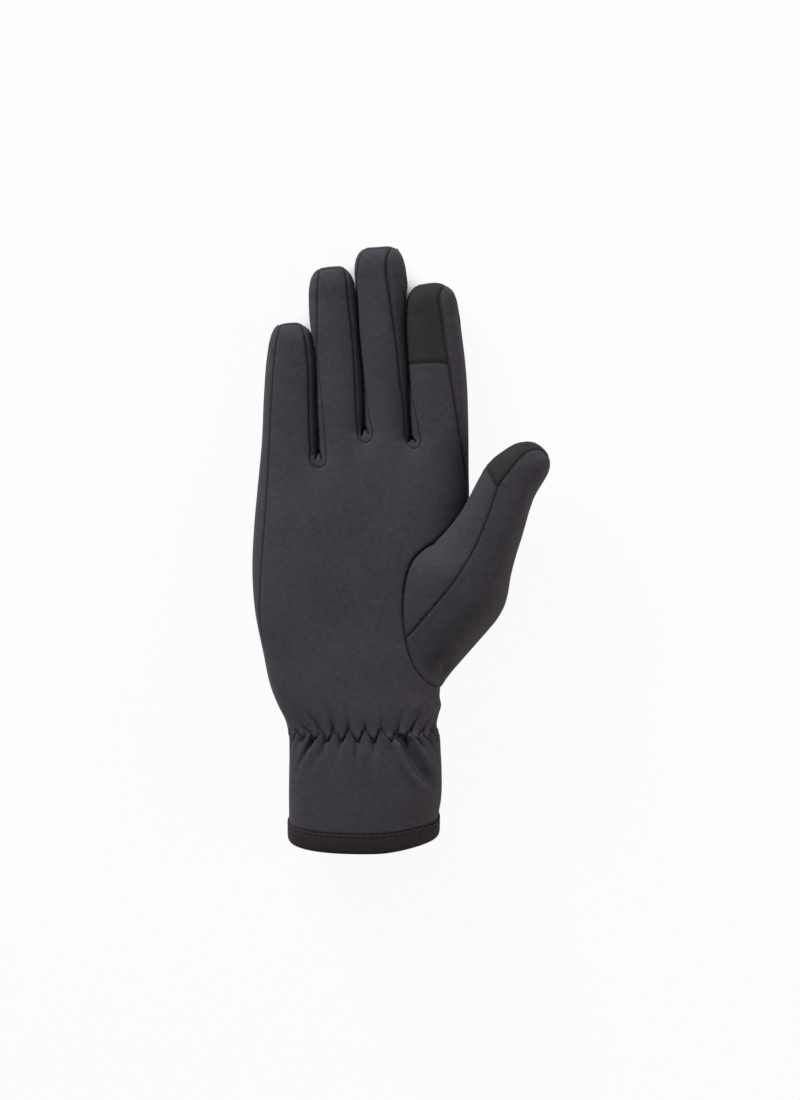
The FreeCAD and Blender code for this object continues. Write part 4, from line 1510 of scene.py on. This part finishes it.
class Glove:
    """The sewn glove: every panel, its seams, gathers and trim."""

    def __init__(self) -> None:
        """Sets up the form and the panels that share edges."""
        self.form = HandForm()
        self.hand = HandPanels(self.form)
        self.thumb = ThumbPanels()
        self.walls = {side: self.hand.outer_wall(side) for side in Side}
        self.slits = [self.hand.slit_wall(n) for n in range(3)]
        self.gathers = Gathers()

    def hand_patches(self) -> list[Patch]:
        """Panels that ride on the hand.

        Returns:
            Their patches.
        """
        made = []
        for front, piece in ((True, "palm_panel_cloth"), (False, "back_panel_cloth")):
            points, faces = self.hand.sheet(self.walls, self.slits, front)
            made.append(Patch(piece, Finish.SOFTSHELL, HAND, points, faces))
        for side, wall in self.walls.items():
            left = side is Side.LEFT
            end = SIDE_SEAM_END if left else INDEX_SEAM_END - 8
            split = int(np.searchsorted(wall[:, 0, 1], end))
            name = "little_side_gusset_cloth" if left else "index_wall_root_cloth"
            made.append(grid_patch("back_panel_cloth", HAND, wall[:split + 1], left))
            made.append(grid_patch(name, HAND, wall[split:], left))
        names = ("web_little_ring_cloth", "web_ring_middle_cloth", "web_middle_index_cloth")
        return made + [grid_patch(name, HAND, wall, True)
                       for name, wall in zip(names, self.slits)]

    def finger_patches(self, finger: FingerShape) -> list[Patch]:
        """Patches of one finger's panels.

        Args:
            finger: The finger.

        Returns:
            Front, back and both walls, and the touch pad on the forefinger.
        """
        body, back = f"{finger.name}_finger", f"{finger.name}_back_panel"
        front = finger.sheet(self.form, True)
        made = [grid_patch(back, body, front[-TIP_ROWS:], False)]
        front = front[:1 - TIP_ROWS]
        if finger.name == "index":
            split = int(np.argmin(np.abs(front[:, len(finger.shares) // 2, 1] - TOUCH_EDGE_Y)))
            self.touch_row = front[split]
            made.append(grid_patch("index_pad_panel", body, front[split:], False, Finish.TOUCH))
            front = front[:split + 1]
        made.append(grid_patch(f"{finger.name}_front_panel", body, front, False))
        made.append(grid_patch(back, body, finger.sheet(self.form, False), True))
        for side in Side:
            made.append(grid_patch(f"{finger.name}_{side.name.lower()}_wall", body,
                                   finger.wall(self.form, side), side is Side.LEFT))
        return made

    def seam_lines(self) -> list[SeamLine]:
        """Every sewn line on the hand and fingers.

        Returns:
            The lines, on the surface.
        """
        lines = []
        fades = {Side.LEFT: (SIDE_SEAM_END - 6, SIDE_SEAM_END + 8),
                 Side.RIGHT: (INDEX_SEAM_END - 2, INDEX_SEAM_END + 6)}
        for side, wall in self.walls.items():
            own = self.hand.finger[side].wall(self.form, side)
            for column in (0, -1):
                path = np.vstack([wall[:, column], own[1:, column]])
                lines.append(SeamLine(path, pucker=0.05, fade=fades[side]))
        for number, wall in enumerate(self.slits):
            before = FINGERS[number].wall(self.form, Side.RIGHT)
            after = FINGERS[number + 1].wall(self.form, Side.LEFT)
            for column in (0, -1):
                path = np.vstack([before[:0:-1, column], wall[:, column], after[1:, column]])
                lines.append(SeamLine(path, depth=0.6, width=0.55, pucker=0.02))
        for finger in FINGERS:
            tip = finger.sheet(self.form, True)[-TIP_ROWS]
            lines.append(SeamLine(tip, depth=0.45, width=0.6, pucker=0.05))
        lines.append(SeamLine(self.touch_row, depth=0.45, pucker=0.06))
        return lines

    def thumb_seam_lines(self) -> list[SeamLine]:
        """The thumb's own seams.

        Returns:
            The lines, on its surface.
        """
        thumb = self.thumb
        lines = []
        for plan, depth, width in ((thumb.seam_line, 0.42, 0.5), (thumb.pad_line, 0.35, 0.5),
                                   (thumb.oval, 0.5, 0.6)):
            path = np.column_stack([thumb.world(plan), thumb.top(self.form, plan)])
            lines.append(SeamLine(path, depth, width))
        return lines

    def root_seam_on_palm(self) -> SeamLine:
        """The oval seam as the palm has it.

        Returns:
            The line.
        """
        plan = resampled(np.array(THUMB_ROOT_SEAM), ROOT_SPACING)
        path = np.column_stack([plan, self.form.front(plan[:, 0], plan[:, 1])])
        return SeamLine(path, depth=0.7, width=0.7)

    def web_folds(self, points: Array) -> Array:
        """How far the webs lie back inside their seams, with a fold in the notch.

        Args:
            points: The skin's points.

        Returns:
            Millimetres outwards.
        """
        x, y, z = points.T
        lift = np.zeros(len(points))
        for slit in SLITS:
            loop = np.array(slit.loop)
            deep = ease(0.1, 1.2, distance_to(resampled(loop, 0.5), x, y))
            within = inside(loop, points[:, :2]) & (z > self.form.side(y))
            notch = inside(np.array(slit.crease), points[:, :2])
            beside = distance_to(np.array(slit.crease), x, y)
            lift += within * deep * (NOTCH_RISE * notch * ease(0.0, 0.6, beside) - WEB_DEPTH)
        return lift

    def web_creases(self, points: Array) -> list[SeamLine]:
        """The sharp folds in the webs, from each slit's end down either side.

        Args:
            points: The skin's points, which the folds follow.

        Returns:
            The folds, as lines that pull the fabric in, with painted shade along them.
        """
        upper = points[points[:, 2] > self.form.side(points[:, 1])]
        made = []
        for slit in SLITS:
            plan = resampled(np.array(slit.crease), 0.3)
            near = [int(((upper[:, :2] - p) ** 2).sum(1).argmin()) for p in plan]
            path = np.column_stack([plan, upper[near, 2]])
            made.append(SeamLine(path, depth=1.1, width=0.42, pucker=0))
        return made

    def sunk(self, points: Array) -> Array:
        """How far the palm lies back where the thumb covers it.

        Args:
            points: The skin's points.

        Returns:
            Millimetres inwards.
        """
        plan = self.thumb.local(points[:, :2])
        loop = np.vstack([self.thumb.oval, self.thumb.free[1:]])
        deep = ease(0.05, 1.8, distance_to(loop, *plan.T))
        upper = points[:, 2] > self.form.side(points[:, 1]) - 4
        return COVERED * deep * inside(loop, plan) * upper

    def threads(self) -> dict[tuple[str, Finish, str], list[Array]]:
        """Where the stitches lie.

        Returns:
            Their paths, by body, thread and kind of stitch.
        """
        seams = [s.path[(s.strength() > STITCHED) & ~self.form.between(s.path)]
                 for s in self.seam_lines()]
        runs: dict[tuple[str, Finish, str], list[Array]] = {}
        for body, paths in self.skin.lay(seams, 0.0).items():
            runs[body, Finish.THREAD, "seam"] = paths
        own = [s.path for s in self.thumb_seam_lines()]
        runs["thumb", Finish.THREAD, "seam"] = self.thumb_skin.lay(own, 0.02)["thumb"]
        runs[HAND, Finish.THREAD, "zigzag"] = self.skin.lay(self.gathers.path(), 0.06)[HAND]
        ring, away = section(self.form, HEM_STITCH)
        place = ring + away * HEM_STITCH_OUT
        hem = np.column_stack([place[:, 0], np.full(len(place), HEM_STITCH), place[:, 1]])
        runs[HAND, Finish.EDGE_THREAD, "hem"] = [np.vstack([hem, hem[:1]])]
        return {key: [hem_tilted(p) for p in paths] for key, paths in runs.items()}

    def build(self) -> list[tuple[str, Finish, str, bpy.types.Object]]:
        """Builds the skin's pieces.

        Returns:
            Each piece's name, finish, body and object.
        """
        patches = self.hand_patches()
        for finger in FINGERS:
            patches += self.finger_patches(finger)
        skin = Skin(patches)
        lift, sewn = self.gathers.lift(skin.points)
        webs = self.web_folds(skin.points)
        # The cuff dents in above the binding, and painted shade darkens that line.
        bound = np.exp(-((skin.points[:, 1] - BINDING_TOP) / BINDING_SOFT) ** 2)
        skin.push(lift + webs - self.sunk(skin.points) - BINDING_DENT * bound)
        # Painted shade: darker in the sewn zigzag, along the line above the binding and in the
        # webs that lie back.
        skin.seam_shade = np.maximum.reduce([sewn, bound, -WEB_PAINTED_SHADE * webs])
        skin.sew(self.seam_lines() + [self.root_seam_on_palm()] + self.web_creases(skin.points))
        thumb = Skin(self.thumb.panels(self.form))
        thumb.sew(self.thumb_seam_lines())
        self.skin, self.thumb_skin = skin, thumb
        self.stitch_runs = self.threads()
        skin.points = hem_tilted(skin.points)
        return skin.pieces() + thumb.pieces()


def hem_tilted(points: Array) -> Array:
    """Points near the hem, moved up the cuff by as much as the hem leans at their height.

    Args:
        points: Points of the hand's forms.

    Returns:
        The moved points.
    """
    moved = np.array(points, float)
    x, y, z = moved.T
    lean = HEM_TILT * (1 - z / CUFF_TOP) + HEM_REST + HEM_THUMB_SIDE * ease(4.0, 33.0, x)
    moved[:, 1] += lean * (1 - ease(0.0, HEM_FADE, y))
    return moved


# Spacing, length and thickness of each kind of stitch.
STITCHES = {"seam": (2.3, 1.6, 0.24), "zigzag": (1.8, 1.75, 0.34), "hem": (2.7, 1.5, 0.30)}
STITCH_UNEVEN = 0.18        # how much their length varies, as a share
STITCH_SEED = 7


class Stitching:
    """Short stitches of thread along paths, made by one node tree with named inputs."""

    def __init__(self) -> None:
        """Builds the node tree."""
        tree = bpy.data.node_groups.new("stitches", "GeometryNodeTree")
        face = tree.interface
        for name, kind in (("Paths", "NodeSocketGeometry"), ("Spacing", "NodeSocketFloat"),
                           ("Length", "NodeSocketFloat"), ("Thickness", "NodeSocketFloat"),
                           ("Unevenness", "NodeSocketFloat"), ("Seed", "NodeSocketInt"),
                           ("Thread", "NodeSocketMaterial")):
            face.new_socket(name, in_out="INPUT", socket_type=kind)
        face.new_socket("Stitches", in_out="OUTPUT", socket_type="NodeSocketGeometry")
        self.sockets = {i.name: i.identifier for i in face.items_tree if i.in_out == "INPUT"}
        nodes = Nodes(tree)
        given = nodes.node("NodeGroupInput", {}, {}).outputs
        curve = nodes.add("GeometryNodeMeshToCurve", {}, {"Mesh": given["Paths"]})
        places = nodes.node("GeometryNodeCurveToPoints", {"mode": "LENGTH"}, {
            "Curve": curve, "Length": given["Spacing"]}).outputs
        grain = nodes.add("GeometryNodeMeshUVSphere", {}, {"Segments": 7, "Rings": 6,
                                                           "Radius": 0.5})
        least = nodes.add("ShaderNodeMath", {"operation": "SUBTRACT"}, {
            0: 1.0, 1: given["Unevenness"]})
        uneven = nodes.add("FunctionNodeRandomValue", {"data_type": "FLOAT"}, {
            2: least, 3: 1.0, "Seed": given["Seed"]}, 1)
        long = nodes.add("ShaderNodeMath", {"operation": "MULTIPLY"}, {
            0: given["Length"], 1: uneven})
        size = nodes.add("ShaderNodeCombineXYZ", {}, {
            "X": given["Thickness"], "Y": given["Thickness"], "Z": long})
        sewn = nodes.add("GeometryNodeInstanceOnPoints", {}, {
            "Points": places["Points"], "Instance": grain, "Rotation": places["Rotation"],
            "Scale": size})
        real = nodes.add("GeometryNodeRealizeInstances", {}, {"Geometry": sewn})
        smooth = nodes.add("GeometryNodeSetShadeSmooth", {}, {"Geometry": real})
        coated = nodes.add("GeometryNodeSetMaterial", {}, {
            "Geometry": smooth, "Material": given["Thread"]})
        nodes.node("NodeGroupOutput", {}, {0: coated})
        self.tree = tree

    def sew(self, name: str, kind: str, paths: list[Array], thread: bpy.types.Material
            ) -> bpy.types.Object:
        """Makes one mesh of stitches.

        Args:
            name: The new object's name.
            kind: The kind of stitch.
            paths: Polylines in millimetres.
            thread: Its material.

        Returns:
            The object, which has no modifier left.
        """
        points = placed(np.vstack(paths)).tolist()
        edges, count = [], 0
        for path in paths:
            edges += [(count + i, count + i + 1) for i in range(len(path) - 1)]
            count += len(path)
        mesh = bpy.data.meshes.new(name + "_path")
        mesh.from_pydata(points, edges, [])
        guide = linked(name + "_path", mesh)
        made = guide.modifiers.new("stitches", "NODES")
        made.node_group = self.tree
        spacing, length, thick = (v * MM for v in STITCHES[kind])
        for socket, value in (("Spacing", spacing), ("Length", length), ("Thickness", thick),
                              ("Unevenness", STITCH_UNEVEN), ("Seed", STITCH_SEED),
                              ("Thread", thread)):
            made[self.sockets[socket]] = value
        seen = guide.evaluated_get(bpy.context.evaluated_depsgraph_get())
        sewn = bpy.data.meshes.new_from_object(seen)
        guide.modifiers.clear()
        bpy.data.objects.remove(guide)
        bpy.data.meshes.remove(mesh)
        return linked(name, sewn)


def math_node(operation: str) -> Callable:
    """Returns a method of Value that adds a Math node for one operation."""
    def method(self: "Value", *others: "Value | float") -> "Value":
        """Adds the node, with this value as its first input."""
        inputs = dict(enumerate((self, *others)))
        return self.nodes.add("ShaderNodeMath", {"operation": operation}, inputs)
    return method


@dataclass
class Value:
    """A shader socket that takes part in Python expressions."""
    nodes: "Nodes"
    socket: bpy.types.NodeSocket

    __add__, __sub__, __mul__ = map(math_node, ("ADD", "SUBTRACT", "MULTIPLY"))
    sine, least, most = map(math_node, ("SINE", "MINIMUM", "MAXIMUM"))


@dataclass
class Nodes:
    """Adds nodes to one tree."""
    tree: bpy.types.NodeTree

    def node(self, kind: str, settings: dict[str, object], inputs: dict[object, object]
             ) -> bpy.types.Node:
        """Adds a node.

        Args:
            kind: The node's type.
            settings: Its properties, set first, such as an operation.
            inputs: Numbers, colours, sockets or Values by socket name or number.

        Returns:
            The node.
        """
        node = self.tree.nodes.new(kind)
        for name, value in settings.items():
            setattr(node, name, value)
        for name, value in inputs.items():
            value = value.socket if isinstance(value, Value) else value
            if isinstance(value, bpy.types.NodeSocket):
                self.tree.links.new(value, node.inputs[name])
            else:
                node.inputs[name].default_value = value
        return node

    def add(self, kind: str, settings: dict[str, object], inputs: dict[object, object],
            output: int | str = 0) -> Value:
        """Adds a node, as node() does, and returns one of its outputs."""
        return Value(self, self.node(kind, settings, inputs).outputs[output])


def emptied(owner: bpy.types.ID) -> Nodes:
    """Clears the nodes of a material or world.

    Args:
        owner: The material or world.

    Returns:
        Its node builder.
    """
    owner.use_nodes = True
    owner.node_tree.nodes.clear()
    return Nodes(owner.node_tree)


PAINTED_SHADE_LEVEL = 0.2             # how light the painted shade leaves a fabric at its darkest, as a share of its colour


@dataclass(frozen=True)
class Fabric:
    """A knitted or woven finish, in millimetres."""
    name: str
    colour: tuple[float, float, float]
    worn: tuple[float, float, float]        # its lighter fibres
    grain: float                            # size of the knit's grain
    course: float                           # height of one knitted row
    course_depth: float                     # how strongly the rows show, 0 to 1
    relief: float                           # bump height
    roughness: float
    sheen: float
    weave: bool = False                     # rows in both directions

    def material(self) -> bpy.types.Material:
        """Makes the finish's material, which reads Object coordinates and the skin's painted
        shade.

        Returns:
            The material.
        """
        made = bpy.data.materials.new(self.name)
        nodes = emptied(made)
        place = nodes.add("ShaderNodeTexCoord", {}, {}, "Object")
        shade = nodes.add("ShaderNodeAttribute", {"attribute_name": "seam_shade"}, {}, "Fac")
        parts = nodes.node("ShaderNodeSeparateXYZ", {}, {0: place}).outputs
        x, y, z = (Value(nodes, part) for part in parts)
        turn = 2 * math.pi / (self.course * MM)
        bend, grain, cloud, mottle = (
            nodes.add("ShaderNodeTexNoise", {}, {"Vector": place, "Scale": scale,
                                                 "Detail": detail, "Roughness": rough})
            for scale, detail, rough in ((90.0, 1.0, 0.5), (1 / (self.grain * MM), 3.0, 0.6),
                                         (38.0, 4.0, 0.5), (420.0, 2.0, 0.5)))
        rows = (y * turn + bend * 5.0).sine() * 0.5 + 0.5
        wales = ((x + z * 0.7) * (turn * 0.8) + bend * 4.0).sine() * 0.5 + 0.5
        knit = rows * wales if self.weave else rows * 0.75 + wales * 0.25
        tone = (grain * 0.85 + cloud * 0.62 + mottle * 0.8 + knit * (0.35 * self.course_depth)
                - 0.76)
        fibre = nodes.add("ShaderNodeMix", {"data_type": "RGBA"}, {
            0: tone.most(0.0).least(1.0), "A": (*self.colour, 1), "B": (*self.worn, 1)}, 2)
        # Painted shade: the colour darkens where the skin's shade attribute says, along seams,
        # creases, the sewn zigzag, the webs and the line above the binding.
        dark = tuple(c * PAINTED_SHADE_LEVEL for c in self.colour)
        colour = nodes.add("ShaderNodeMix", {"data_type": "RGBA"}, {
            0: shade.least(1.0) * 0.9, "A": fibre, "B": (*dark, 1)}, 2)
        height = grain * 0.45 + knit * self.course_depth + mottle * 0.35
        bump = nodes.add("ShaderNodeBump", {}, {"Height": height, "Strength": 0.6,
                                                "Distance": self.relief * MM}, "Normal")
        skin = nodes.add("ShaderNodeBsdfPrincipled", {}, {
            "Base Color": colour, "Roughness": grain * 0.12 + (self.roughness - 0.06),
            "Normal": bump, "Specular IOR Level": 0.25, "Sheen Weight": self.sheen,
            "Sheen Roughness": 0.45, "Sheen Tint": (0.8, 0.8, 0.9, 1)})
        nodes.node("ShaderNodeOutputMaterial", {}, {"Surface": skin})
        return made


FABRICS = {
    Finish.SOFTSHELL: Fabric("charcoal stretch fabric", (0.034, 0.0303, 0.0372),
                             (0.064, 0.0582, 0.0748), 0.55, 0.8, 0.15, 0.12, 0.88, 0.10),
    Finish.TOUCH: Fabric("black conductive knit", (0.0165, 0.0148, 0.0148),
                         (0.034, 0.031, 0.030), 0.5, 0.95, 0.6, 0.14, 0.82, 0.05),
    Finish.BINDING: Fabric("black stretch binding", (0.0155, 0.0108, 0.0115),
                           (0.029, 0.0215, 0.0225), 0.5, 0.55, 0.8, 0.12, 0.85, 0.05, True),
    Finish.ELASTIC: Fabric("woven elastic", (0.05, 0.05, 0.055), (0.09, 0.09, 0.10),
                           0.5, 1.1, 1.0, 0.25, 0.8, 0.05, True),
    Finish.THREAD: Fabric("seam thread", (0.010, 0.009, 0.010), (0.024, 0.022, 0.024),
                          0.25, 0.3, 0.6, 0.05, 0.6, 0.1),
    Finish.EDGE_THREAD: Fabric("hem thread", (0.036, 0.03, 0.03), (0.075, 0.066, 0.066),
                               0.25, 0.3, 0.6, 0.05, 0.5, 0.1),
}


@dataclass
class Studio:
    """A pale floor, soft lamps and the camera over the palm, in metres."""
    camera_height: float = 4.5
    sensor: float = 36.0                    # in millimetres, its long side along the hand
    palm: float = 0.014                     # height of the surface that the view is sized at
    view_length: float = 0.473              # along the hand, at that height
    centre: tuple[float, float] = (-0.0014, 0.0)
    floor_size: float = 6.0

    def floor(self) -> None:
        """Lays the floor."""
        half = self.floor_size / 2
        mesh = bpy.data.meshes.new("studio_floor")
        mesh.from_pydata([(-half, -half, 0), (half, -half, 0), (half, half, 0), (-half, half, 0)],
                         [], [(0, 1, 2, 3)])
        made = bpy.data.materials.new("pale floor")
        nodes = emptied(made)
        paper = nodes.add("ShaderNodeBsdfPrincipled", {}, {
            "Base Color": (0.9, 0.9, 0.9, 1), "Roughness": 0.9, "Specular IOR Level": 0.1})
        glow = nodes.add("ShaderNodeEmission", {}, {"Color": (1, 1, 1, 1), "Strength": 1.0})
        seen = nodes.add("ShaderNodeLightPath", {}, {}, "Is Camera Ray")
        open_sky = nodes.add("ShaderNodeAmbientOcclusion", {"samples": 8},
                             {"Distance": 0.012}, "AO")
        lit = ((open_sky - 0.2) * 5.0).least(1.0).most(0.0)
        mixed = nodes.add("ShaderNodeMixShader", {}, {0: seen * lit * 0.94, 1: paper, 2: glow})
        nodes.node("ShaderNodeOutputMaterial", {}, {"Surface": mixed})
        mesh.materials.append(made)
        floor = linked("studio_floor", mesh)

    def lamps(self) -> None:
        """Hangs the lamps and lights the world."""
        for name, place, size, power, colour in (
                ("key", (-0.86, 1.33, 0.70), 0.6, 31.0, (1.0, 1.0, 1.0)),
                ("fill", (1.3, -0.4, 0.55), 1.2, 11.0, (1.0, 0.93, 0.88)),
                ("top", (-0.2, 0.2, 1.6), 0.9, 0.8, (1.0, 1.0, 1.0))):
            light = bpy.data.lights.new(name, "AREA")
            light.shape, light.size, light.energy, light.color = "DISK", size, power, colour
            lamp = linked(name, light)
            lamp.location = place
            lamp.rotation_euler = (-Vector(place)).to_track_quat("-Z", "Y").to_euler()
        world = bpy.data.worlds.new("studio")
        bpy.context.scene.world = world
        nodes = emptied(world)
        seen = nodes.add("ShaderNodeLightPath", {}, {}, "Is Camera Ray")
        sky = nodes.add("ShaderNodeBackground", {}, {"Color": (1, 1, 1, 1),
                                                     "Strength": seen * 0.85 + 0.15})
        nodes.node("ShaderNodeOutputWorld", {}, {"Surface": sky})

    def camera(self) -> None:
        """Sets the camera straight over the palm."""
        data = bpy.data.cameras.new("camera")
        data.sensor_width = self.sensor
        data.lens = self.sensor * (self.camera_height - self.palm) / self.view_length
        camera = linked("camera", data)
        camera.location = (*self.centre, self.camera_height)
        camera.rotation_euler = (0, 0, 0)
        bpy.context.scene.camera = camera

    def build(self) -> None:
        """Builds the whole studio."""
        self.floor()
        self.lamps()
        self.camera()
        bpy.context.scene.view_settings.view_transform = "Standard"


REPLACED = {
    "index_pad_panel": ("index_touch_patch",),
    "thumb_inner_panel": ("thumb_inner", "thumb_base_inner"),
    "thumb_outer_panel": ("thumb_outer", "thumb_base_outer", "thumb_fold"),
    "thumb_pad_panel": ("thumb_touch_patch",),
} | {f"{node}_cloth": (node,) for node in (
    "palm_panel", "back_panel", "little_side_gusset", "index_wall_root", "web_little_ring",
    "web_ring_middle", "web_middle_index")
} | {f"{f.name}_{piece}": tuple(f"{f.name}_{node}" for node in nodes)
     for f in FINGERS for piece, nodes in (
         ("front_panel", ("front", "fold")), ("back_panel", ("back",)),
         ("left_wall", ("wall_left",)), ("right_wall", ("wall_right",)))}
FOLD_ZONE = 23.0            # length along a finger from its start, to an end point that attach works out but doesn't use


def attach(thing: bpy.types.Object, body: str, finish: Finish, thumb: ThumbPanels) -> None:
    """Attaches a piece of the hand to the hand's body, and bakes the transform of a digit's piece,
    which stays unattached.

    Args:
        thing: The piece.
        body: The body that it belongs to.
        finish: Its finish.
        thumb: The thumb, for its own direction.
    """
    starts = {f"{f.name}_finger": f.start for f in FINGERS}
    if body == HAND:
        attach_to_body(thing, HAND)
    else:
        if body in starts:
            ends = [np.array([0.0, starts[body] + y, 10.0]) for y in (0.0, FOLD_ZONE)]
        else:
            ends = [np.append(thumb.world(np.array([[0.0, v]]))[0], 20.0) for v in thumb.blend]
        start, end = (tuple(placed(e).tolist()) for e in ends)
        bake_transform(thing)
    finish.slot
    log.info("%s moves with %s, %d faces", thing.name, body, len(thing.data.polygons))


def main() -> None:
    """Builds the glove and its studio."""
    logging.basicConfig(level=logging.INFO, format="%(message)s")
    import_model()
    materials = {finish: fabric.material() for finish, fabric in FABRICS.items()}
    glove = Glove()
    for name, finish, body, thing in glove.build():
        thing.data.materials.append(materials[finish])
        attach(thing, body, finish, glove.thumb)
        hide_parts(*REPLACED[name])
    for band, node in ((BINDING, "cuff_binding"), (LINING, None), (ELASTIC, "wrist_elastic")):
        thing = band.build(glove.form)
        thing.data.materials.append(materials[band.finish])
        attach(thing, HAND, band.finish, glove.thumb)
        if node:
            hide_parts(node)
    stitching = Stitching()
    for (body, finish, kind), paths in glove.stitch_runs.items():
        thing = stitching.sew(f"{body}_{kind}_stitches", kind, paths, materials[finish])
        attach(thing, body, finish, glove.thumb)
    Studio().build()


if __name__ == "__main__":
    main()
